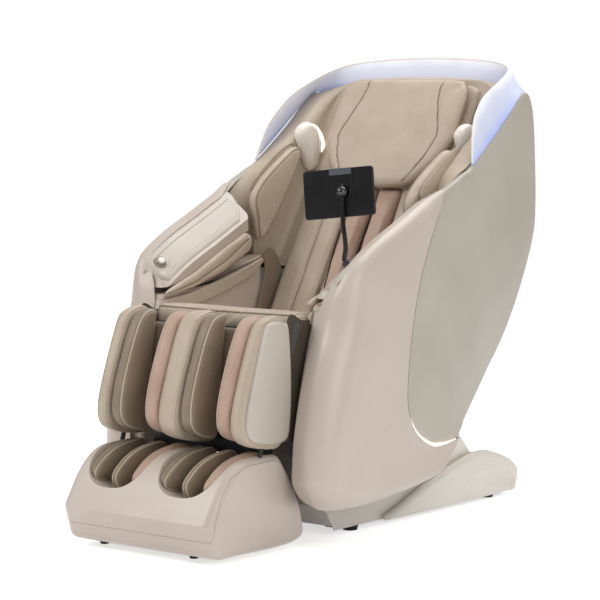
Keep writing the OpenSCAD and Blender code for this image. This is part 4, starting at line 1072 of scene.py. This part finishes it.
WELL_HALF = 100
FOOT_HALF = 248
U_SHAPE = [(-1.06, 1.6), (-1, 0.9), (-0.94, 0.62), (-0.8, 0.32), (-0.56, 0.11), (-0.28, 0.02), (0, 0),
           (0.28, 0.02), (0.56, 0.11), (0.8, 0.32), (0.94, 0.62), (1, 0.9), (1.06, 1.6)]
LINER = [(-636, 182), (-606, 218), (-560, 243), (-500, 256), (-440, 254), (-420, 200), (-430, 126),
         (-500, 110), (-598, 126)]


def well(side, room):
    """U-shaped channel for one foot."""
    slope = math.radians(12)

    def place(p):
        across_well, rise, along = np.array(p, float).T
        return np.stack([side * WELL_X + across_well,
                         -655 + along * math.cos(slope) + rise * math.sin(slope),
                         160 - along * math.sin(slope) + rise * math.cos(slope)], axis=1)

    curve = open_curve(U_SHAPE, 4)
    outline = [(u * (WELL_HALF - room), v * 100 + room) for u, v in curve]
    return prism(outline, -60 + room, 250 - room, place)


liner_outline = closed_curve(LINER, 5)


def foot_pad(name, side, low, high):
    """Pad in a foot's well, from low to high off the well's middle."""
    # The narrow pad is piped on both faces, a wide one on the face towards the foot
    piped = (low + 4, high - 4) if high - low < 30 else (high - 8 if low < 0 else low + 8,)
    return pad(name, liner_outline, side * WELL_X + low, side * WELL_X + high, SIDE, 10, 10, 4,
               keep=[well(side, 0.4)],
               seams=[seam(rim(liner_outline, side * WELL_X + w, SIDE, 3), radius=2.0) for w in piped])


foot_taupe = [foot_pad("foot_taupe", s, *span) for s in (-1, 1) for span in ((-98, -56), (-12, 12))]
foot_rose = [foot_pad("foot_rose", s, 56, 98) for s in (-1, 1)]

blow_up()

upholster("back_cushion_leather", [cushion], BEIGE_LEATHER, "back", "leather_beige", "back_cushion",
          piping=PIPING_DARK)
upholster("back_roll_leather", rolls, ROSE_LEATHER, "back", "leather_rose", "back_rolls")
upholster("pillow_leather", [pillow], BEIGE_LEATHER, "back", "leather_beige", "headrest_pillow",
          piping=PIPING_DARK)
upholster("seat_leather", [seat], BEIGE_LEATHER, "pod", "leather_beige", "seat_cushion", piping=PIPING_DARK)
upholster("upper_arm_leather", [upper], BEIGE_LEATHER, "pod", "leather_beige", "upper_arm_pads", "both",
          piping=PIPING_DARK)
upholster("lining_leather", [lining], BEIGE_LEATHER, "back", "leather_beige", "side_lining", "pair",
          piping=PIPING_DARK)
upholster("shoulder_leather", [outer, inner], BEIGE_LEATHER, "back", "leather_beige", "shoulder_pads", "pair",
          piping=PIPING_DARK)
upholster("calf_wall_leather", [wall_side], BEIGE_LEATHER, "leg", "leather_beige", "calf_wall", "pair")
upholster("calf_centre_leather", [wall_middle], BEIGE_LEATHER, "leg", "leather_beige", "calf_wall_centre")
upholster("calf_taupe_leather", taupe_pads, TAUPE_LEATHER, "leg", "leather_taupe", "calf_pads_taupe")
upholster("calf_rose_leather", rose_pads, ROSE_LEATHER, "leg", "leather_rose", "calf_pads_rose")
upholster("calf_shelf_leather", shelf_pads, TAUPE_LEATHER, "leg", "leather_taupe", "calf_back_pad")
upholster("foot_taupe_leather", foot_taupe, TAUPE_LEATHER, "foot", "leather_taupe", "foot_pads_taupe")
upholster("foot_rose_leather", foot_rose, ROSE_LEATHER, "foot", "leather_rose", "foot_pads_rose")

cover = both("calf_cover", *rounded_slab(COVER_SIDE, WALL_OUT - 9, LEG_OUT, 8, 12, side_plane, 8), sharp=60)
dress(cover, PANEL_PLASTIC, "leg", "panel_plastic", "calf_covers")

# ---- Canopy, rear cover and hood ----

CANOPY_FOOT = [(372, 240, 955), (372, 250, 964), (371, 274, 981), (371, 310, 1007), (370, 360, 1044),
               (368, 430, 1099), (362, 486, 1142), (346, 522, 1148), (290, 540, 1146), (200, 548, 1144),
               (100, 551, 1143), (0, 552, 1143)]
CANOPY_RIM = [(371, 241, 962), (363, 251, 1000), (352, 270, 1052), (342, 299, 1093), (334, 350, 1138),
              (328, 420, 1172), (318, 480, 1198), (298, 520, 1216), (252, 546, 1230), (180, 560, 1238),
              (92, 567, 1243), (0, 569, 1245)]
CANOPY_BOW, CANOPY_THICK = 4.2, 3.6
REAR_HALF, REAR_TURN = 346, 10
COVER_LINE = [(452, 562), (494, 640), (528, 780), (533, 980), (529, 1080), (536, 1134)]


def over_the_middle(points):
    """A line that ends on the chair's middle, carried on to the other side."""
    return list(points) + [(-x, y, z) for x, y, z in points[-2::-1]]


def canopy_mesh():
    """Bowed sheet of one thickness from its foot to its rim, and how far up each point is."""
    foot = open_curve(over_the_middle(CANOPY_FOOT), 8)
    rim_line = open_curve(over_the_middle(CANOPY_RIM), 8)
    along = np.gradient(foot, axis=0)
    along /= np.linalg.norm(along, axis=1, keepdims=True)
    out = np.cross(along, rim_line - foot)
    out /= np.linalg.norm(out, axis=1, keepdims=True)
    shares = np.linspace(0, 1, 12)
    bow = CANOPY_BOW * np.sin(np.pi * shares ** 0.8)
    rings = []
    for f, r, o in zip(foot, rim_line, out):
        outer = [f + (r - f) * t - o * b for t, b in zip(shares, bow)]
        inner = [p + o * CANOPY_THICK for p in outer[::-1]]
        rings.append(outer + inner)
    points, faces = loft(rings)
    rise = np.append(np.tile(np.concatenate([shares, shares[::-1]]), len(rings)), [0.5, 0.5])
    return points, faces, rise, rim_line


canopy_points, canopy_faces, rise, rim_line = canopy_mesh()
canopy = mesh_object("canopy_sheet", canopy_points, canopy_faces, 50)
outward(canopy)
shade(canopy, 50)
canopy.data.attributes.new("rise", "FLOAT", "POINT").data.foreach_set("value", rise)
dress(canopy, CANOPY, "back", "canopy_diffuser", "canopy")
bead = mesh_object("canopy_bead", *tube_mesh(even(rim_line, 6) - (0, 0, 2), 2.0, 8))
dress(bead, CREAM_PLASTIC, "back", "canopy_diffuser")


def rear_cover_mesh():
    """Cover between the rear shells, its long edges turned forward."""
    line = open_curve(COVER_LINE, 6)
    spread_x = np.linspace(-REAR_HALF, REAR_HALF, 41)
    turn = REAR_TURN * (np.abs(spread_x) / REAR_HALF) ** 6
    rings = []
    for y, z in line:
        outer = [(x, y - t, z) for x, t in zip(spread_x, turn)]
        inner = [(x, y - t - WALL, z) for x, t in zip(spread_x[::-1], turn[::-1])]
        rings.append(outer + inner)
    return loft(rings)


rear_cover = mesh_object("rear_cover", *rear_cover_mesh(), sharp=40)
outward(rear_cover)
shade(rear_cover, 40)
dress(rear_cover, SHELL_REAR, "back", "shell_rear", "back_cover")

# Leather hood from the cushion's edge over the side lining to the canopy's foot: rows of [X, Y, Z]
HOOD_UP = (-91, -20, 110, 196, 330, 440)
hood_inner = [tuple(p) for p in back_plane([(237, up, -16) for up in HOOD_UP[:4]]
                                           + [(236, 330, -16), (226, 440, -16), (204, 486, -16),
                                              (110, 493, -16), (0, 493, -16)])]
hood_cove = [tuple(p) for p in back_plane([(286, up, -24) for up in HOOD_UP[:5]]
                                          + [(276, 440, -24), (228, 502, -10), (120, 508, -8), (0, 508, -8)])]
HOOD_FACE = [(293, 142, 690), (293, 158, 775), (293, 202, 897), (293, 268, 957), (293, 390, 1052),
             (290, 466, 1114), (252, 512, 1166), (130, 532, 1186), (0, 535, 1188)]
HOOD_CREST = [(314, 146, 704), (314, 130, 784), (314, 193, 909), (314, 259, 970), (314, 382, 1066),
              (312, 461, 1128), (282, 526, 1164), (150, 546, 1178), (0, 549, 1180)]
HOOD_OUTER = [(350, 92, 780), (356, 84, 846), (358, 176, 922), (360, 252, 962), (362, 378, 1054),
              (356, 478, 1134), (328, 518, 1147), (190, 541, 1146), (0, 546, 1146)]
hood_rows = [open_curve(over_the_middle(row), 6)
             for row in (hood_inner, hood_cove, HOOD_FACE, HOOD_CREST, HOOD_OUTER)]
hood_rings = [open_curve([tuple(row[i]) for row in hood_rows], 5) for i in range(len(hood_rows[0]))]
hood = mesh_object("hood_leather", *loft(hood_rings, closed_ends=False, wrap=False), sharp=60)
thick = hood.modifiers.new("thick", "SOLIDIFY")
thick.thickness = 3 * MM
thick.offset = 0
bake_modifiers(hood)
shade(hood, 60)
dress(hood, BEIGE_LEATHER, "back", "leather_beige")

# Leather panels beside the seat, behind the arm pads, in dark taupe as painted shade of the gap beside the
# cushion
HIP_SHADE_PANEL = closed_curve([(60, 470), (118, 640), (112, 704), (150, 716), (190, 664), (198, 560),
                          (150, 470)], 6)
hip_shade_panels = both("hip_shade_panel", *rounded_slab(HIP_SHADE_PANEL, 239.2, 243.2, 1.8, 3, side_plane), sharp=60)
dress(hip_shade_panels, TAUPE_LEATHER, "pod", "leather_beige")

# Leather apron behind the back cushion's foot, hanging on down behind the seat
back_apron = mesh_object("back_apron", *prism(ccw([(119, 482), (192, 603), (195, 602), (129, 490), (130, 420),
                                                   (127, 420), (126, 484)]), -248, 248, side_plane))
outward(back_apron)
dress(back_apron, TAUPE_LEATHER, "back", "leather_beige")

# ---- Speakers beside the head ----


def speaker_shell():
    """Domed speaker housing in cream ABS."""
    return rounded_slab(SPEAKER, LINING_IN - 40.4, LINING_IN - 0.4, 18, 20, side_plane, 8)


for end, mesh in (("left", speaker_shell()), ("right", flipped(*speaker_shell()))):
    housing = mesh_object("speaker_housing_" + end, *mesh, sharp=70)
    outward(housing)
    shade(housing, 70)
    dress(housing, CREAM_PLASTIC, "back", "panel_plastic", "speaker_" + end)
glow_line = open_curve([(262, 342, 1054), (260, 372, 1050), (260, 404, 1014), (261, 404, 968),
                        (263, 384, 940)], 10)
glow_width = 1.2 + 3.4 * np.sin(np.pi * np.linspace(0, 1, len(glow_line)))
dress(both("speaker_light", *tube_mesh(glow_line, glow_width, 8)), WARM_LIGHT, "back", "led_diffuser")

# ---- Foot rest ----

FOOT_LOWER = [(-318, 90), (-330, 20), (-580, 15), (-636, 16), (-664, 28), (-675, 58), (-690, 106)]
FOOT_UPPER = [(-690, 106), (-672, 136), (-640, 185), (-600, 226), (-545, 249), (-440, 250), (-402, 236),
              (-345, 150), (-318, 90)]
FOOT_OUTLINE = np.vstack([open_curve(FOOT_LOWER, 8)[:-1], open_curve(FOOT_UPPER, 8)[:-1]])
PARTING = [(-720, 64), (-672, 64), (-664, 110), (-640, 168), (-600, 214), (-545, 236), (-440, 238),
           (-405, 226), (-380, 190), (-340, 110), (-290, 66), (-290, 0), (-720, 0)]
CHEEK = 12
PARTING_UP = 64


def foot_block():
    """The whole foot rest, before it is parted into cover and tub."""
    return rounded_slab(FOOT_OUTLINE, -FOOT_HALF, FOOT_HALF, 26, 22, side_plane, 8)


def tub_room(gap):
    """The tub's share of the foot rest, let out by a gap."""
    share = mesh_object("tub", *prism(inset(PARTING, -gap), -FOOT_HALF - 5, FOOT_HALF + 5, side_plane))
    outward(share)
    cut(share, prism([(-760, PARTING_UP + gap), (-200, PARTING_UP + gap), (-200, 300), (-760, 300)],
                     CHEEK - FOOT_HALF + gap, FOOT_HALF - CHEEK - gap, side_plane))
    data = mesh_data(share)
    bpy.data.objects.remove(share)
    return data


foot_cover = mesh_object("foot_cover", *foot_block(), sharp=32)
outward(foot_cover)
cut(foot_cover, tub_room(0.9), well(-1, 0), well(1, 0))
shade(foot_cover, 32)
dress(foot_cover, SHELL_FRONT, "foot", "base_plastic", "foot_shell")
foot_tub = mesh_object("foot_tub", *foot_block(), sharp=32)
outward(foot_tub)
cut(foot_tub, tub_room(0), operation="INTERSECT")
shade(foot_tub, 32)
dress(foot_tub, SHELL_FRONT, "foot", "base_plastic", "foot_base")

# Black apron behind the calf rest, closing the gap over the foot rest: a dark sheet as painted shade of the
# hollow there
shade_apron = mesh_object("leg_shade_apron", *prism(ccw([(-391, 232), (-388, 300), (-378, 420), (-375, 420), (-385, 300),
                                             (-388, 232)]), -200, 200, side_plane))
outward(shade_apron)
dress(shade_apron, BLACK_PLASTIC, "leg", "black_plastic")
# Dark taupe cheeks beside it, just inside the arms: painted shade of the gap between the calf rest and the
# shells
CHEEK_SIDE = ccw([(-402, 292), (-330, 292), (-306, 470), (-286, 568), (-330, 580), (-385, 590), (-400, 440)])
shade_cheeks = both("leg_shade_cheek", *rounded_slab(closed_curve(CHEEK_SIDE, 4), 245.7, 248.7, 1, 2, side_plane))
dress(shade_cheeks, SHADE_TAUPE, "leg", "black_plastic")

# ---- Tablet on its neck, and the control dial ----

TABLET_AT = np.array((194, -109, 890))
TABLET_TURN = np.radians((-6.7, -5.8, 19.6))
TABLET_SIZE = (190, 127, 12)
BALL_RADIUS = 15
BALL_IN = (16, 0, -20)
NECK_RADIUS = 6
CABLE_DIAMETER = 3.4


def tablet_plane(p):
    """u = across the tablet, v = up, w = away from its back."""
    x, z, y = np.array(p, float).reshape(-1, 3).T
    tilt, roll_y, turn = TABLET_TURN
    x, z = x * math.cos(roll_y) + z * math.sin(roll_y), z * math.cos(roll_y) - x * math.sin(roll_y)
    y, z = y * math.cos(tilt) - z * math.sin(tilt), y * math.sin(tilt) + z * math.cos(tilt)
    return TABLET_AT + np.stack([x * math.cos(turn) - y * math.sin(turn),
                                 x * math.sin(turn) + y * math.cos(turn), z], axis=1)


def rounded_box(x0, x1, z0, z1, radius):
    """Outline with round corners."""
    corners = ((x1 - radius, z1 - radius, 0), (x0 + radius, z1 - radius, 90), (x0 + radius, z0 + radius, 180),
               (x1 - radius, z0 + radius, 270))
    return [(cx + radius * math.cos(math.radians(a + t)), cz + radius * math.sin(math.radians(a + t)))
            for cx, cz, a in corners for t in range(0, 91, 15)]


def lathe(profile, centre, axis, sides=48):
    """Turned form: [radius, height] pairs about an axis through the centre."""
    axis = np.array(axis, float) / np.linalg.norm(axis)
    first = np.cross(axis, (0.3, 0.9, 0.2))
    first /= np.linalg.norm(first)
    second = np.cross(axis, first)
    turns = np.arange(sides) * 2 * math.pi / sides
    circle = np.cos(turns)[:, None] * first + np.sin(turns)[:, None] * second
    return loft([np.array(centre) + axis * h + r * circle for r, h in profile])


def solid(name, data, material, body, slot, *nodes, sharp=35):
    """A finished piece from points and faces."""
    piece = mesh_object(name, *data, sharp=sharp)
    outward(piece)
    shade(piece, sharp)
    return dress(piece, material, body, slot, *nodes)


half_w, half_h = TABLET_SIZE[0] / 2, TABLET_SIZE[1] / 2
ball_at = tablet_plane([BALL_IN])[0]
back_normal = tablet_plane([(0, 0, -1)])[0] - tablet_plane([(0, 0, 0)])[0]
ring_at = tablet_plane([(BALL_IN[0], 0, 0)])[0]
solid("tablet_body", joined([
    rounded_slab(rounded_box(-half_w, half_w, -half_h, half_h, 8), 0, TABLET_SIZE[2], 3, 3, tablet_plane),
    rounded_slab(rounded_box(-24, 39, -half_h + 0.5, half_h - 0.5, 3), -2.6, 1, 1.4, 1.6, tablet_plane),
    lathe([(21, -1), (21, 7), (20.4, 9.6), (18.6, 11), (16, 10.4), (14.6, 8), (14.6, 2)],
          ring_at, back_normal)]),
      TABLET_BLACK, "screen", "device", "tablet")
solid("tablet_clip",
      rounded_slab(rounded_box(-22, 37, half_h - 17, half_h, 2), -3.8, -1, 1, 1.4, tablet_plane),
      TABLET_CLIP, "screen", "device")
solid("tablet_glass",
      rounded_slab(rounded_box(4 - half_w, half_w - 4, 4 - half_h, half_h - 4, 5),
                   TABLET_SIZE[2] - 0.5, TABLET_SIZE[2] + 0.3, 0.2, 0.3, tablet_plane),
      SCREEN_GLASS, "screen", "device")
ball_profile = [(BALL_RADIUS * math.sin(a), -BALL_RADIUS * math.cos(a))
                for a in np.linspace(0.06, math.pi - 0.06, 28)]
solid("swivel_ball", joined([lathe(ball_profile, ball_at, (0, 0, 1)),
                             lathe([(4, 0), (4, 20), (3.2, 21)], ball_at, (0, 0, 1), 24)]),
      BALL_BLACK, "pod", "black_plastic", "ball_joint")


def crest_at(y):
    """Height of the arm's crest at one place along it."""
    return np.interp(y, crest_line[:, 0], crest_line[:, 1])


def panel_frame(y, run):
    """Centre and outward normal of the arm top at one place."""
    centre = np.array(on_crest((y, crest_at(y)), run, 1.5))
    slope = math.atan2(crest_at(y + 18) - crest_at(y - 18), 36)
    normal = np.array((-math.sin(PANEL_ROLL), -math.sin(slope) * math.cos(PANEL_ROLL),
                       math.cos(slope) * math.cos(PANEL_ROLL)))
    return centre, normal


NECK_Y, NECK_RUN = -232, 20
neck_root = [on_crest((NECK_Y, crest_at(NECK_Y)), NECK_RUN, rise_off) for rise_off in (2, 18)]
NECK_MIDDLE = [(286, -200, 750), (258, -164, 768), (236, -140, 790), (222, -127, 818)]
neck_end = [tuple(ball_at - (0, 0, drop)) for drop in (44, BALL_RADIUS - 1)]
neck_line = even(open_curve(neck_root + NECK_MIDDLE + neck_end, 10), 1.0)
ribs = NECK_RADIUS - 0.35 + 0.35 * np.cos(np.arange(len(neck_line)) * 2 * math.pi / 5)
solid("neck_hose", tube_mesh(neck_line, ribs, 14), BLACK_RUBBER, "pod", "black_plastic", "gooseneck",
      sharp=60)

CABLE_ROUTE = [(222.6, -139.4, 797), (217.5, -144, 776), (211, -155, 735), (214, -178, 690), (222, -204, 656),
               (229, -218, 640)]
cable_line = even(open_curve(CABLE_ROUTE, 10), 2.0)
cable = solid("tablet_cable_sheath", tube_mesh(cable_line, CABLE_DIAMETER / 2, 12), BLACK_RUBBER, "pod",
              "black_plastic", "tablet_cable", sharp=60)

DIAL_Y = -247
dial_at, dial_axis = panel_frame(DIAL_Y, PANEL_WIDTH * 0.4)
mirror = np.array((-1, 1, 1))
dial_at, dial_axis = dial_at * mirror, dial_axis * mirror
solid("dial_ring",
      lathe([(17.6, 0.2), (18, 1.4), (17.2, 3), (14.6, 3.4), (14, 4), (14, 8.6), (13.2, 9.6), (11.4, 9.8),
             (10.6, 9), (10.4, 3.4)], dial_at, dial_axis),
      DIAL_METAL, "dial", "bright_steel", "control_dial")
solid("dial_button",
      lathe([(9.9, 5.2), (9.9, 8.6), (9.2, 9.5), (6, 9.9), (2.4, 9.9), (2.2, 9.5), (0.5, 9.4)],
            dial_at, dial_axis),
      CREAM_PLASTIC, "button", "panel_plastic", "power_button")

# ---- CAD nodes that keep their own shape ----

KEPT_NODES = {
    "base_frame": FRAME_STEEL, "base_tower": BASE_PLASTIC, "base_feet": BLACK_RUBBER,
    "power_inlet": BLACK_PLASTIC, "mains_switch": BLACK_PLASTIC, "wheel_axle": BRIGHT_STEEL,
    "wheel_left": BLACK_RUBBER, "wheel_right": BLACK_RUBBER, "seat_frame": FRAME_STEEL,
    "neck_socket": BLACK_PLASTIC, "back_frame": FRAME_STEEL, "massage_carriage": FRAME_STEEL,
    "kneading_rollers": NYLON, "leg_frame": FRAME_STEEL, "foot_feet": BLACK_RUBBER,
    "foot_rollers": NYLON, "foot_slides": DARK_METAL,
}
for node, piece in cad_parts.items():
    if piece.hide_render:
        continue
    piece.data.materials.clear()
    piece.data.materials.append(KEPT_NODES.get(node, BEIGE_LEATHER))

# ---- Stage and light ----


FLOOR_HALF = 9000


def stage_floor():
    """Pale studio floor, white to the camera outside the shadow."""
    corners = [(x * FLOOR_HALF, y * FLOOR_HALF, 0) for x, y in ((-1, -1), (1, -1), (1, 1), (-1, 1))]
    floor = mesh_object("floor", corners, [(0, 1, 2, 3)])
    material, tree, out, at = new_material("floor pale")
    shader = add(tree, "ShaderNodeBsdfPrincipled", {"Base Color": linear("#ffffff"), "Roughness": 0.9})
    light = add(tree, "ShaderNodeEmission", {"Color": (1, 1, 1, 1), "Strength": 0.62})
    both_shaders = add(tree, "ShaderNodeAddShader", {0: shader.outputs["BSDF"], 1: light.outputs["Emission"]})
    # Seen by the camera it gets the lift that makes it white; what it lights is the plain floor
    path = add(tree, "ShaderNodeLightPath")
    seen = add(tree, "ShaderNodeMath", {0: path.outputs["Is Camera Ray"], 1: path.outputs["Is Glossy Ray"]},
               operation="MAXIMUM")
    seen = add(tree, "ShaderNodeMath", {0: seen.outputs["Value"], 1: path.outputs["Is Transmission Ray"]},
               operation="MAXIMUM")
    mix = add(tree, "ShaderNodeMixShader", {0: seen.outputs["Value"], 1: shader.outputs["BSDF"],
                                            2: both_shaders.outputs["Shader"]})
    tree.links.new(mix.outputs["Shader"], out.inputs["Surface"])
    floor.data.materials.append(material)


def stage_world():
    """Even white surround: 1 to the camera, dimmer as a light."""
    world = bpy.data.worlds.new("studio")
    scene.world = world
    world.use_nodes = True
    tree = world.node_tree
    tree.nodes.clear()
    path = add(tree, "ShaderNodeLightPath")
    seen = add(tree, "ShaderNodeMath",
               {0: path.outputs["Is Camera Ray"], 1: path.outputs["Is Transmission Ray"]},
               operation="MAXIMUM")
    strength = add(tree, "ShaderNodeMapRange",
                   {"Value": seen.outputs["Value"], "To Min": 0.5, "To Max": 1.0})
    surround = add(tree, "ShaderNodeBackground",
                   {"Color": (1, 1, 1, 1), "Strength": strength.outputs["Result"]})
    out = add(tree, "ShaderNodeOutputWorld")
    tree.links.new(surround.outputs["Background"], out.inputs["Surface"])


def softbox(name, at, aim, size, watts):
    """Rectangular lamp in metres and watts, turned to its aim."""
    lamp = bpy.data.lights.new(name, "AREA")
    lamp.shape = "RECTANGLE"
    lamp.size, lamp.size_y = size
    lamp.energy = watts
    holder = bpy.data.objects.new(name, lamp)
    scene.collection.objects.link(holder)
    holder.location = at
    holder.rotation_euler = (Vector(aim) - Vector(at)).to_track_quat("-Z", "Y").to_euler()


stage_floor()
stage_world()
softbox("key", (-2.2, -3.2, 3.4), (0, 0, 0.6), (2.4, 2.0), 78)
softbox("fill", (3.6, -1.6, 2.0), (0, 0, 0.6), (2.4, 2.2), 44)
softbox("top", (0.2, 1.2, 3.8), (0, 0, 0.7), (2.6, 2.6), 80)

scene.view_settings.view_transform = "Standard"
